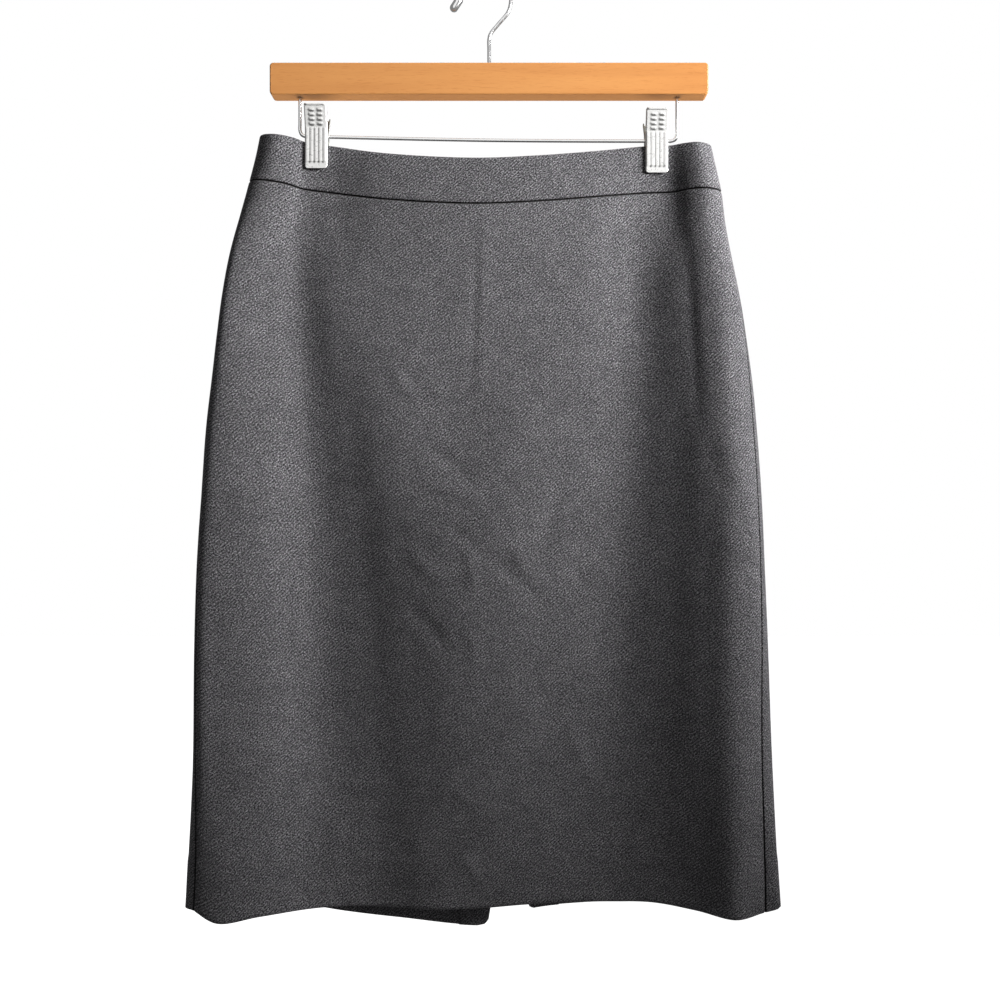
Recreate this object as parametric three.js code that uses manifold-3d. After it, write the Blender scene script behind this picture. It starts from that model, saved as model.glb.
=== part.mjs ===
// A knee-length wool pencil skirt, held by two spring clips under a wooden bar hanger.
// Millimetres, +Z up. The front faces -Y and +X is the viewer's right, so "left" is -X.
// The origin is the inside of the hook's crown, where a wardrobe rail bears.

import * as THREE from 'three';
import { mergeVertices } from 'three/addons/utils/BufferGeometryUtils.js';
import Module from 'manifold-3d';

const wasm = await Module();
wasm.setup();

// Skirt: lengths run down the cloth from the waist's top edge.
const BAND_HEIGHT = 38.3;
const SKIRT_LENGTH = 622;
const CLOTH_WALL = 2;
const BAND_WALL = 2.8;
const SEAM_GAP = 0.3;
const VENT_LENGTH = 180;
const PANEL_ROWS = 19;
const BAND_ROWS = 3;
const COLUMNS_PER_STATION = 3;

// Half outline of the hanging skirt: x of the left and right edge at each drop below the waist.
const OUTLINE = [
  { drop: 0, left: -187.0, right: 181.2 },
  { drop: 16, left: -190.3, right: 184.8 },
  { drop: 36, left: -195.2, right: 189.2 },
  { drop: 66, left: -202.3, right: 192.6 },
  { drop: 98, left: -209.4, right: 198.0 },
  { drop: 131, left: -214.4, right: 204.3 },
  { drop: 164, left: -217.9, right: 209.3 },
  { drop: 200, left: -221.3, right: 214.0 },
  { drop: 240, left: -225.3, right: 217.3 },
  { drop: 290, left: -228.3, right: 220.2 },
  { drop: 345, left: -232.0, right: 222.3 },
  { drop: 415, left: -234.8, right: 225.2 },
  { drop: 500, left: -237.0, right: 228.2 },
  { drop: 576, left: -241.5, right: 231.9 },
  { drop: 622, left: -244.2, right: 234.6 },
];

// Stations round the cloth, anticlockwise from the centre back: name, across, depth, top, hem.
// "across" is the place between the centre (0) and the edges (-1, 1) at the waist, mid length and
// hem. "depth" is y at each of DEPTH_DROPS, from the waist's top edge and its seam down to the hem.
// "top" and "hem" are the heights of those two edges.
const ACROSS_DROPS = [0, 330, 622];
const DEPTH_DROPS = [0, 37, 115, 220, 330, 475, 622];
const STATIONS = [
  ['centre_back', [0, 0.01, 0.085], [10, 10.3, 24, 26.5, 26, 25, 23], -157, -787],
  ['vent_left', [-0.04, -0.03, 0.015], [10, 10.3, 24, 26.5, 26, 25.5, 24], -157, -793.5],
  ['seat_left', [-0.38, -0.36, -0.3], [7.5, 9.5, 22, 27, 29, 29, 28], -154.5, -789],
  ['back_grip_left_in', [-0.665, -0.62, -0.5], [4.1, 4.2, 13, 18, 21, 23, 24], -149.5, -781.5],
  ['back_grip_left_out', [-0.793, -0.72, -0.62], [4.1, 4.2, 13, 18.5, 22, 25, 27], -146, -777.5],
  ['back_lobe_left', [-0.915, -0.87, -0.8], [10, 13, 19, 24, 28, 31.5, 34], -142, -771],
  ['back_turn_left', [-0.982, -0.97, -0.955], [6, 8.5, 12, 13.5, 14, 14, 14], -140.5, -767.5],
  ['edge_left', [-1, -1, -1], [0, 0, -2, -5, -8, -10, -12], -140, -765.6],
  ['turn_left', [-0.982, -0.975, -0.965], [-6, -8, -21.5, -32, -36.5, -33, -21], -140.3, -764.5],
  ['lobe_left', [-0.92, -0.9, -0.88], [-10.5, -12.5, -21.5, -34, -38, -33.5, -26], -141.5, -773],
  ['fall_left', [-0.84, -0.76, -0.74], [-7.5, -9.5, -15.5, -27.5, -31.5, -27, -22.5], -143.5, -769],
  ['grip_left_out', [-0.793, -0.6, -0.55], [-4.1, -4.2, -10.5, -16.5, -16.5, -10, -5.5], -146, -768.5],
  ['grip_left_in', [-0.665, -0.45, -0.36], [-4.1, -4.2, -14.5, -19.5, -17.5, -9.5, 0], -149.5, -769.5],
  ['rise_left', [-0.45, -0.31, -0.17], [-8, -11, -17.5, -24.5, -23, -14, -4.5], -156, -770.5],
  ['belly', [-0.05, -0.13, -0.02], [-11, -15, -18.5, -23.5, -27.5, -17, -3.5], -160.8, -770],
  ['belly_right', [0.25, 0.07, 0.14], [-10.5, -14, -16.5, -23.5, -27, -15.5, -2], -158.5, -767.5],
  ['slope_right', [0.52, 0.26, 0.3], [-7, -9.5, -14, -18.5, -21, -11.5, -0.5], -153.5, -766],
  ['grip_right_in', [0.69, 0.49, 0.45], [-4.1, -4.2, -8, -13.5, -14.5, -10, 0], -149.5, -765.5],
  ['grip_right_out', [0.817, 0.64, 0.58], [-4.1, -4.2, -15.5, -21.5, -21.5, -15.5, -2.5], -148.5, -765.5],
  ['rise_right', [0.87, 0.77, 0.72], [-8, -11, -21.5, -30, -31.5, -26, -9], -148, -769.5],
  ['lobe_right', [0.93, 0.87, 0.84], [-11, -14, -24, -32.5, -37, -32.5, -23], -148, -771.5],
  ['turn_right', [0.982, 0.96, 0.94], [-6.5, -8.5, -19, -21.5, -29.5, -24.5, -14], -148, -769.5],
  ['edge_right', [1, 1, 1], [0, -1, -3, -6, -9, -11, -12], -148, -765.8],
  ['back_turn_right', [0.982, 0.97, 0.955], [6, 8.5, 12, 13, 13, 12.5, 12], -148, -767],
  ['back_lobe_right', [0.92, 0.87, 0.8], [10, 13, 19, 24, 28, 30.5, 32], -148.5, -768.5],
  ['back_grip_right_out', [0.817, 0.74, 0.64], [4.1, 4.2, 13, 18, 21, 23.5, 25], -149, -771],
  ['back_grip_right_in', [0.69, 0.64, 0.54], [4.1, 4.2, 13, 17.5, 20, 21.5, 22], -150, -773],
  ['seat_right', [0.4, 0.38, 0.36], [7.5, 9.5, 22, 26.5, 28, 27.5, 26], -154, -775.5],
  ['vent_right', [0.04, 0.05, 0.162], [10, 10.3, 24, 26.5, 26, 25, 23], -157, -779.5],
].map(([name, across, depth, top, hem]) => ({ name, across, depth, top, hem }));

// How far each side seam lies forward of the outline's edge, along the cloth.
const SIDE_SEAMS = [
  { drop: 0, left: 0, right: 0 },
  { drop: 70, left: 3, right: 4.5 },
  { drop: 130, left: 7, right: 11 },
  { drop: 180, left: 10.5, right: 13.3 },
  { drop: 240, left: 16, right: 15.5 },
  { drop: 309, left: 23.5, right: 20 },
  { drop: 378, left: 27, right: 19.2 },
  { drop: 438, left: 25.2, right: 18.2 },
  { drop: 491, left: 21.8, right: 16.4 },
  { drop: 540, left: 20.4, right: 13.9 },
  { drop: 588, left: 17.5, right: 12.8 },
  { drop: 622, left: 14, right: 13.3 },
];

// Concealed zip in the centre back seam.
const ZIP_END_DROP = 190;
const ZIP_GAP = 1.6;
const TAPE_WIDTH = 12;
const TAPE_WALL = 0.8;
const TAPE_TOP_DROP = 2;
const TAPE_INSET = 0.5;
const TAPE_ROWS = 12;
const SLIDER_DROP = 9;
const SLIDER_BODY = { width: 5.6, thickness: 2, height: 9 };
const FIN = { thickness: 0.8, height: 4, eyeRadius: 2, holeRadius: 1.1 };
const PULL_AXIS_LIFT = 1.1;
const PULL = { thickness: 1, length: 16, topHalfWidth: 2.4, fullHalfWidth: 3.1, shoulderDrop: 5 };
const PULL_SLOT = { halfWidth: 1, length: 2.6 };

// Hanger: a bar with a wire hook above it and a wire clip rail below it.
const BAR = { length: 355.6, thickness: 14.5, top: -82.7, bottom: -108.6, corner: 2, edge: 0.9 };
const HOOK_WIRE_RADIUS = 1.5;
const HOOK_LOOP = { x: -3.4, radius: 22.5 };
const HOOK_STEM_DEPTH = 14;
const HOOK_CAP = { x: -26.7, z: -32.1, radius: 3.4, straight: 7.2, lean: 0.585 };
const RAIL_RADIUS = 1.35;
const RAIL_SOCKET_DEPTH = 10;
const RAIL_LEFT = { x: -154.5, height: -140.3 };
const RAIL_RIGHT = { x: 153.5, height: -144.1 };
const RAIL_MIDDLE_HEIGHT = -143.4;
const SOCKET_CLEARANCE = 0.3;

// Spring clip, measured from its pivot on the rail.
const CLIP_WIDTH = 17.7;
const CLIPS = [
  { name: 'left', x: -140, height: -140.5 },
  { name: 'right', x: 136.1, height: -144.05 },
];
const JAW = { bottom: -27.2, top: 5.6, inner: 4.6, wall: 1.2 };
const FLUTES = { bottom: -22.5, count: 5, rise: 0.75 };
const FRONT_LEAF = { handleTop: 22.6, reach: 10.4, earOffset: 7.9 };
const BACK_LEAF = { handleTop: 16.4, reach: 12.6, earOffset: 6.4 };
const LIP_RADIUS = 0.9;
const EAR = { radius: 2.8, wall: 1, holeRadius: 1.7 };
const SPRING = { radius: 3.1, bore: 1.7, length: 9 };

const CLOTH = new THREE.MeshStandardMaterial({ color: 0x59575b, roughness: 0.95, metalness: 0 });
const TAPE = new THREE.MeshStandardMaterial({ color: 0x3c3b40, roughness: 0.9, metalness: 0 });
const WOOD = new THREE.MeshStandardMaterial({ color: 0xd9924f, roughness: 0.45, metalness: 0 });
const CHROME = new THREE.MeshStandardMaterial({ color: 0xc9cacc, roughness: 0.2, metalness: 1 });
const ZIP_METAL = new THREE.MeshStandardMaterial({ color: 0x4a4a4e, roughness: 0.4, metalness: 0.8 });

const part = new THREE.Group();

function addPiece(name, geometry, material) {
  const mesh = new THREE.Mesh(geometry, material);
  mesh.name = name;
  part.add(mesh);
}

// A smooth value between the rows of a table: cubic steps through the neighbours' slopes.
function smoothAlong(places, values, place) {
  const last = places.length - 1;
  const inside = Math.min(Math.max(place, places[0]), places[last]);
  let row = 0;
  while (row < last - 1 && inside > places[row + 1]) row += 1;
  const span = places[row + 1] - places[row];
  const slopeAt = (i) => {
    const before = Math.max(i - 1, 0);
    const after = Math.min(i + 1, last);
    return (values[after] - values[before]) / (places[after] - places[before]);
  };
  const t = (inside - places[row]) / span;
  const rise = values[row + 1] - values[row];
  const leave = slopeAt(row) * span;
  const arrive = slopeAt(row + 1) * span;
  return values[row] + t * (leave + t * (3 * rise - 2 * leave - arrive + t * (leave + arrive - 2 * rise)));
}

function column(table, key, drop) {
  return smoothAlong(table.map((row) => row.drop), table.map((row) => row[key]), drop);
}

function stationPoint(station, drop) {
  const left = column(OUTLINE, 'left', drop);
  const right = column(OUTLINE, 'right', drop);
  const across = smoothAlong(ACROSS_DROPS, station.across, drop);
  const seamHeight = station.top - BAND_HEIGHT;
  const belowSeam = (drop - BAND_HEIGHT) / (SKIRT_LENGTH - BAND_HEIGHT);
  const panelHeight = THREE.MathUtils.lerp(seamHeight, station.hem, belowSeam);
  const height = drop < BAND_HEIGHT ? station.top - drop : panelHeight;
  return new THREE.Vector3(
    (left + right) / 2 + (across * (right - left)) / 2,
    smoothAlong(DEPTH_DROPS, station.depth, drop),
    height,
  );
}

// The closed line round the cloth's outer face at one drop. A place on it runs from 0 at the
// centre back to 1 at the centre back again, with an equal share between each two stations.
class Ring {
  constructor(drop) {
    this.drop = drop;
    const points = STATIONS.map((row) => stationPoint(row, drop));
    this.curve = new THREE.CatmullRomCurve3(points, true, 'centripetal');
  }

  static place(name) {
    return STATIONS.findIndex((row) => row.name === name) / STATIONS.length;
  }

  tangent(place) {
    const step = 0.0005;
    const ahead = this.curve.getPoint(place + step);
    return ahead.sub(this.curve.getPoint(place - step)).divideScalar(2 * step);
  }

  // The place that lies a distance further round from a place.
  shifted(place, distance) {
    return place + distance / this.tangent(place).length();
  }

  // The same over a longer way, walked in short steps.
  travelled(place, distance) {
    const steps = 24;
    let reached = place;
    for (let i = 0; i < steps; i += 1) reached = this.shifted(reached, distance / steps);
    return reached;
  }

  // A point lifted off the outer face, outwards when lift is positive.
  point(place, lift) {
    const along = this.tangent(place);
    const outward = new THREE.Vector3(along.y, -along.x, 0).normalize();
    return this.curve.getPoint(place).addScaledVector(outward, lift);
  }
}

// A wall of cloth: one ring of places for each drop, with an outer face at the lift and an inner one.
function clothWall(drops, placesOf, columns, wall, lift = 0) {
  const positions = [];
  const faces = [];
  drops.forEach((drop) => {
    const ring = new Ring(drop);
    const [start, end] = placesOf(ring);
    [lift, lift - wall].forEach((faceLift) => {
      for (let i = 0; i <= columns; i += 1) {
        positions.push(...ring.point(THREE.MathUtils.lerp(start, end, i / columns), faceLift));
      }
    });
  });
  const width = columns + 1;
  const outer = (row, i) => row * 2 * width + i;
  const inner = (row, i) => (row * 2 + 1) * width + i;
  const quad = (a, b, c, d) => faces.push(a, b, c, a, c, d);
  const lastRow = drops.length - 1;
  for (let row = 0; row < lastRow; row += 1) {
    for (let i = 0; i < columns; i += 1) {
      quad(outer(row, i), outer(row + 1, i), outer(row + 1, i + 1), outer(row, i + 1));
      quad(inner(row, i), inner(row, i + 1), inner(row + 1, i + 1), inner(row + 1, i));
    }
    quad(outer(row, 0), inner(row, 0), inner(row + 1, 0), outer(row + 1, 0));
    quad(outer(row, columns), outer(row + 1, columns), inner(row + 1, columns), inner(row, columns));
  }
  for (let i = 0; i < columns; i += 1) {
    quad(outer(0, i), outer(0, i + 1), inner(0, i + 1), inner(0, i));
    quad(inner(lastRow, i), inner(lastRow, i + 1), outer(lastRow, i + 1), outer(lastRow, i));
  }
  const geometry = new THREE.BufferGeometry();
  geometry.setAttribute('position', new THREE.Float32BufferAttribute(positions, 3));
  geometry.setIndex(faces);
  return geometry;
}

function spacedDrops(from, to, rows) {
  return Array.from({ length: rows + 1 }, (_, i) => THREE.MathUtils.lerp(from, to, i / rows));
}

// Places of the seams on a ring: half a seam gap to each side, and the vent spreading to the hem.
function sideSeam(ring, side) {
  const edge = Ring.place(`edge_${side}`);
  const forward = column(SIDE_SEAMS, side, ring.drop);
  return ring.travelled(edge, side === 'left' ? forward : -forward);
}

function backEdge(ring, side) {
  const halfGap = (ring.drop <= ZIP_END_DROP ? ZIP_GAP : SEAM_GAP) / 2;
  const closed = ring.shifted(side === 'left' ? 0 : 1, side === 'left' ? halfGap : -halfGap);
  const open = Ring.place(`vent_${side}`);
  const ventTop = SKIRT_LENGTH - VENT_LENGTH;
  const spread = THREE.MathUtils.clamp((ring.drop - ventTop) / VENT_LENGTH, 0, 1) ** 1.4;
  return THREE.MathUtils.lerp(closed, open, spread);
}

const PANELS = [
  {
    name: 'front',
    stations: 15,
    places: (ring) => [
      ring.shifted(sideSeam(ring, 'left'), SEAM_GAP / 2),
      ring.shifted(sideSeam(ring, 'right'), -SEAM_GAP / 2),
    ],
  },
  {
    name: 'back_left',
    stations: 7,
    places: (ring) => [backEdge(ring, 'left'), ring.shifted(sideSeam(ring, 'left'), -SEAM_GAP / 2)],
  },
  {
    name: 'back_right',
    stations: 7,
    places: (ring) => [ring.shifted(sideSeam(ring, 'right'), SEAM_GAP / 2), backEdge(ring, 'right')],
  },
];

function addSkirt() {
  const bandDrops = spacedDrops(0, BAND_HEIGHT - SEAM_GAP / 2, BAND_ROWS);
  const panelDrops = spacedDrops(BAND_HEIGHT + SEAM_GAP / 2, SKIRT_LENGTH, PANEL_ROWS);
  PANELS.forEach(({ name, stations, places }) => {
    const columns = stations * COLUMNS_PER_STATION;
    addPiece(`${name}_waistband`, clothWall(bandDrops, places, columns, BAND_WALL), CLOTH);
    addPiece(`${name}_panel`, clothWall(panelDrops, places, columns, CLOTH_WALL), CLOTH);
  });
}

// The zip tapes hang straight down from inside the band.
function addZipTapes() {
  const drops = spacedDrops(TAPE_TOP_DROP, ZIP_END_DROP, TAPE_ROWS);
  const lift = -BAND_WALL - TAPE_INSET;
  const leftPlaces = (ring) => {
    const edge = backEdge(ring, 'left');
    return [edge, ring.travelled(edge, TAPE_WIDTH)];
  };
  const rightPlaces = (ring) => {
    const edge = backEdge(ring, 'right');
    return [ring.travelled(edge, -TAPE_WIDTH), edge];
  };
  addPiece('zip_tape_left', clothWall(drops, leftPlaces, 2, TAPE_WALL, lift), TAPE);
  addPiece('zip_tape_right', clothWall(drops, rightPlaces, 2, TAPE_WALL, lift), TAPE);
}

// Solids for cuts and joins.
function toSolid(geometry) {
  const bare = geometry.clone();
  bare.deleteAttribute('normal');
  bare.deleteAttribute('uv');
  const merged = mergeVertices(bare, 1e-4);
  return new wasm.Manifold(
    new wasm.Mesh({
      numProp: 3,
      vertProperties: new Float32Array(merged.attributes.position.array),
      triVerts: new Uint32Array(merged.index.array),
    }),
  );
}

function fromSolid(solid) {
  const mesh = solid.getMesh();
  const geometry = new THREE.BufferGeometry();
  geometry.setAttribute('position', new THREE.Float32BufferAttribute(mesh.vertProperties, 3));
  geometry.setIndex(new THREE.Uint32BufferAttribute(mesh.triVerts, 1));
  return geometry;
}

function joined(geometries) {
  return geometries.map(toSolid).reduce((whole, piece) => whole.add(piece));
}

// A shape drawn in the y, z plane and extruded along x about the middle.
function acrossExtrude(shape, width) {
  const geometry = new THREE.ExtrudeGeometry(shape, { depth: width, bevelEnabled: false, curveSegments: 6 });
  geometry.translate(0, 0, -width / 2);
  const yzx = new THREE.Matrix4().makeBasis(
    new THREE.Vector3(0, 1, 0),
    new THREE.Vector3(0, 0, 1),
    new THREE.Vector3(1, 0, 0),
  );
  return geometry.applyMatrix4(yzx);
}

function boxAt(width, thickness, height, x, y, z) {
  return new THREE.BoxGeometry(width, thickness, height).translate(x, y, z);
}

// Zip slider: a body behind the tapes, and a fin through the seam gap that ends in an eye.
function addZipSlider(axis) {
  const bodyFront = -PULL_AXIS_LIFT - BAND_WALL - TAPE_INSET - TAPE_WALL - SEAM_GAP;
  const body = boxAt(
    SLIDER_BODY.width, SLIDER_BODY.thickness, SLIDER_BODY.height,
    0, bodyFront - SLIDER_BODY.thickness / 2, -2,
  );
  const finReach = -bodyFront + 0.5;
  const fin = boxAt(FIN.thickness, finReach, FIN.height, 0, -finReach / 2, 0);
  const eye = acrossExtrude(new THREE.Shape().absarc(0, 0, FIN.eyeRadius, 0, Math.PI * 2), FIN.thickness);
  const hole = acrossExtrude(new THREE.Shape().absarc(0, 0, FIN.holeRadius, 0, Math.PI * 2), 2);
  const slider = joined([body, fin, eye]).subtract(toSolid(hole));
  addPiece('zip_slider', fromSolid(slider).translate(axis.x, axis.y, axis.z), ZIP_METAL);
}

// Pull tab: a teardrop plate that hangs from its top bar, which runs through the slider's eye.
function addZipPull(axis) {
  const half = PULL.thickness / 2;
  const outline = new THREE.Shape();
  outline.moveTo(-PULL.topHalfWidth, half);
  const belly = -1.6 * PULL.shoulderDrop;
  const roundStart = PULL.fullHalfWidth - PULL.length;
  outline.bezierCurveTo(
    -PULL.topHalfWidth, -PULL.shoulderDrop, -PULL.fullHalfWidth, belly, -PULL.fullHalfWidth, roundStart,
  );
  outline.absarc(0, roundStart, PULL.fullHalfWidth, Math.PI, Math.PI * 2, false);
  outline.bezierCurveTo(
    PULL.fullHalfWidth, belly, PULL.topHalfWidth, -PULL.shoulderDrop, PULL.topHalfWidth, half,
  );
  outline.closePath();
  const slot = new THREE.Path();
  slot.moveTo(-PULL_SLOT.halfWidth, -half);
  slot.lineTo(PULL_SLOT.halfWidth, -half);
  slot.lineTo(PULL_SLOT.halfWidth, -half - PULL_SLOT.length);
  slot.lineTo(-PULL_SLOT.halfWidth, -half - PULL_SLOT.length);
  slot.closePath();
  outline.holes.push(slot);
  const plate = new THREE.ExtrudeGeometry(outline, {
    depth: PULL.thickness, bevelEnabled: false, curveSegments: 6,
  });
  plate.translate(0, 0, -half).rotateX(Math.PI / 2).translate(axis.x, axis.y, axis.z);
  addPiece('zip_pull', mergeVertices(plate.deleteAttribute('normal').deleteAttribute('uv')), ZIP_METAL);
}

function addZip() {
  addZipTapes();
  const axis = new Ring(SLIDER_DROP).point(0, PULL_AXIS_LIFT);
  addZipSlider(axis);
  addZipPull(axis);
}

// A wire path whose steps are shared equally between its key points, so bends are finely cut.
class WirePath extends THREE.CatmullRomCurve3 {
  constructor(keys) {
    super(keys.map(([x, z]) => new THREE.Vector3(x, 0, z)), false, 'centripetal');
  }

  getUtoTmapping(u, distance) {
    return distance ? distance / this.getLength() : u;
  }
}

function wire(keys, radius, sides) {
  const section = new THREE.Shape();
  for (let i = 0; i < sides; i += 1) {
    const angle = (i / sides) * Math.PI * 2;
    const corner = [radius * Math.cos(angle), radius * Math.sin(angle)];
    if (i === 0) section.moveTo(...corner);
    else section.lineTo(...corner);
  }
  section.closePath();
  const extrudePath = new WirePath(keys);
  return new THREE.ExtrudeGeometry(section, { steps: (keys.length - 1) * 2, extrudePath });
}

// The hook runs up out of the bar, leans right and turns over the crown to a long capped tip.
function hookKeys() {
  const centre = { x: HOOK_LOOP.x, z: HOOK_WIRE_RADIUS - HOOK_LOOP.radius };
  const keys = [
    [0, BAR.top - HOOK_STEM_DEPTH], [0, -70], [0, -61], [1.2, -56.5], [7.5, -48.6], [15, -39.6], [16.9, -35],
  ];
  for (let degrees = -18; degrees <= 198; degrees += 18) {
    const angle = THREE.MathUtils.degToRad(degrees);
    keys.push([
      centre.x + HOOK_LOOP.radius * Math.cos(angle),
      centre.z + HOOK_LOOP.radius * Math.sin(angle),
    ]);
  }
  keys.push([-26.2, -31.5], [-28.4, -34.4]);
  return keys;
}

function addHook() {
  const cap = new THREE.CapsuleGeometry(HOOK_CAP.radius, HOOK_CAP.straight, 4, 12)
    .rotateX(Math.PI / 2)
    .rotateY(HOOK_CAP.lean)
    .translate(HOOK_CAP.x, 0, HOOK_CAP.z);
  addPiece('hanger_hook', fromSolid(joined([wire(hookKeys(), HOOK_WIRE_RADIUS, 10), cap])), CHROME);
}

function railKeys() {
  const bend = 5;
  const socketTop = BAR.bottom + RAIL_SOCKET_DEPTH;
  return [
    [RAIL_LEFT.x, socketTop],
    [RAIL_LEFT.x, RAIL_LEFT.height + 2 * bend],
    [RAIL_LEFT.x, RAIL_LEFT.height + bend],
    [RAIL_LEFT.x + 0.3 * bend, RAIL_LEFT.height + 0.3 * bend],
    [RAIL_LEFT.x + bend, RAIL_LEFT.height],
    [RAIL_LEFT.x + 2 * bend, RAIL_LEFT.height - 0.1],
    [0, RAIL_MIDDLE_HEIGHT],
    [RAIL_RIGHT.x - 2 * bend, RAIL_RIGHT.height],
    [RAIL_RIGHT.x - bend, RAIL_RIGHT.height],
    [RAIL_RIGHT.x - 0.3 * bend, RAIL_RIGHT.height + 0.3 * bend],
    [RAIL_RIGHT.x, RAIL_RIGHT.height + bend],
    [RAIL_RIGHT.x, RAIL_RIGHT.height + 2 * bend],
    [RAIL_RIGHT.x, socketTop],
  ];
}

function socket(x, wireRadius, bottom, top) {
  const radius = (wireRadius + SOCKET_CLEARANCE) / Math.cos(Math.PI / 12);
  const bore = new THREE.CylinderGeometry(radius, radius, top - bottom, 12);
  return bore.rotateX(Math.PI / 2).translate(x, 0, (bottom + top) / 2);
}

// The bar is cut from the front outline with softened edges, then bored for the hook and the rail.
function addBar() {
  const half = BAR.length / 2 - BAR.edge;
  const low = BAR.bottom + BAR.edge;
  const high = BAR.top - BAR.edge;
  const r = BAR.corner;
  const face = new THREE.Shape();
  face.moveTo(-half + r, low);
  face.lineTo(half - r, low);
  face.absarc(half - r, low + r, r, -Math.PI / 2, 0, false);
  face.absarc(half - r, high - r, r, 0, Math.PI / 2, false);
  face.absarc(-half + r, high - r, r, Math.PI / 2, Math.PI, false);
  face.absarc(-half + r, low + r, r, Math.PI, Math.PI * 1.5, false);
  const depth = BAR.thickness - 2 * BAR.edge;
  const blank = new THREE.ExtrudeGeometry(face, {
    depth,
    curveSegments: 3,
    bevelSize: BAR.edge,
    bevelThickness: BAR.edge,
    bevelSegments: 2,
  });
  blank.translate(0, 0, -depth / 2).rotateX(Math.PI / 2);
  const beyond = 1;
  const clear = SOCKET_CLEARANCE;
  const cuts = [
    socket(0, HOOK_WIRE_RADIUS, BAR.top - HOOK_STEM_DEPTH - clear, BAR.top + beyond),
    socket(RAIL_LEFT.x, RAIL_RADIUS, BAR.bottom - beyond, BAR.bottom + RAIL_SOCKET_DEPTH + clear),
    socket(RAIL_RIGHT.x, RAIL_RADIUS, BAR.bottom - beyond, BAR.bottom + RAIL_SOCKET_DEPTH + clear),
  ];
  const bored = cuts.map(toSolid).reduce((solid, cut) => solid.subtract(cut), toSolid(blank));
  addPiece('hanger_bar', fromSolid(bored), WOOD);
}

function addHanger() {
  addBar();
  addHook();
  addPiece('clip_rail', fromSolid(toSolid(wire(railKeys(), RAIL_RADIUS, 8))), CHROME);
}

// One leaf of a clip: a fluted jaw, a handle that leans away from the rail, and two pivot ears.
function leafSolid({ handleTop, reach, earOffset }) {
  const outer = JAW.inner + JAW.wall;
  const side = new THREE.Shape();
  side.moveTo(-JAW.inner, JAW.bottom);
  side.lineTo(-JAW.inner, JAW.top);
  side.lineTo(-reach + JAW.wall / 2, handleTop - JAW.wall / 2);
  side.lineTo(-reach - JAW.wall / 2, handleTop);
  side.lineTo(-outer, JAW.top + JAW.wall / 2);
  side.lineTo(-outer, JAW.bottom + JAW.wall / 2);
  side.lineTo(-outer + JAW.wall / 2, JAW.bottom);
  side.closePath();
  const lip = new THREE.Shape().absarc(-reach, handleTop, LIP_RADIUS, 0, Math.PI * 2);
  const pieces = [acrossExtrude(side, CLIP_WIDTH), acrossExtrude(lip, CLIP_WIDTH), flutes(outer)];
  [-earOffset, earOffset].forEach((offset) => {
    const ear = new THREE.Shape();
    ear.moveTo(-JAW.inner - JAW.wall / 2, -EAR.radius);
    ear.absarc(0, 0, EAR.radius, -Math.PI / 2, Math.PI / 2, false);
    ear.lineTo(-JAW.inner - JAW.wall / 2, EAR.radius);
    ear.closePath();
    ear.holes.push(new THREE.Path().absarc(0, 0, EAR.holeRadius, 0, Math.PI * 2, true));
    pieces.push(acrossExtrude(ear, EAR.wall).translate(offset, 0, 0));
  });
  return joined(pieces);
}

// Rounded ridges up the outside of the jaw.
function flutes(outer) {
  const pitch = CLIP_WIDTH / FLUTES.count;
  const steps = 4;
  const root = 0.06;
  const section = new THREE.Shape();
  section.moveTo(-CLIP_WIDTH / 2, -outer + 0.3);
  for (let ridge = 0; ridge < FLUTES.count; ridge += 1) {
    for (let i = 0; i <= steps; i += 1) {
      const x = -CLIP_WIDTH / 2 + pitch * (ridge + root + ((1 - 2 * root) * i) / steps);
      section.lineTo(x, -outer - FLUTES.rise * Math.sin((Math.PI * i) / steps));
    }
  }
  section.lineTo(CLIP_WIDTH / 2, -outer + 0.3);
  section.closePath();
  const depth = JAW.top - FLUTES.bottom;
  return new THREE.ExtrudeGeometry(section, { depth, bevelEnabled: false }).translate(0, 0, FLUTES.bottom);
}

function addClip({ name, x, height }) {
  const front = fromSolid(leafSolid(FRONT_LEAF)).translate(x, 0, height);
  const back = fromSolid(leafSolid(BACK_LEAF)).rotateZ(Math.PI).translate(x, 0, height);
  const wall = [
    [SPRING.bore, -SPRING.length / 2], [SPRING.radius, -SPRING.length / 2],
    [SPRING.radius, SPRING.length / 2], [SPRING.bore, SPRING.length / 2], [SPRING.bore, -SPRING.length / 2],
  ].map(([radius, along]) => new THREE.Vector2(radius, along));
  const coil = new THREE.LatheGeometry(wall, 12).rotateZ(Math.PI / 2).translate(x, 0, height);
  addPiece(`clip_${name}_front_leaf`, front, CHROME);
  addPiece(`clip_${name}_back_leaf`, back, CHROME);
  addPiece(`clip_${name}_spring`, fromSolid(toSolid(coil)), CHROME);
}

addSkirt();
addZip();
addHanger();
CLIPS.forEach(addClip);

export default part;
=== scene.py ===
"""A grey wool pencil skirt with a centre back zip and vent, clipped under a wooden bar hanger.

The tables of the skirt's form are in millimetres, as a pattern cutter writes them: down from the
waist, and round the cloth anticlockwise from the centre back. Meshes and finishes are in metres.
"""

import logging
import math
from collections.abc import Callable, Sequence
from dataclasses import dataclass, field
from enum import Enum
from typing import Any

import bmesh
import bpy
import numpy as np
from mathutils import Matrix, Vector


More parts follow.
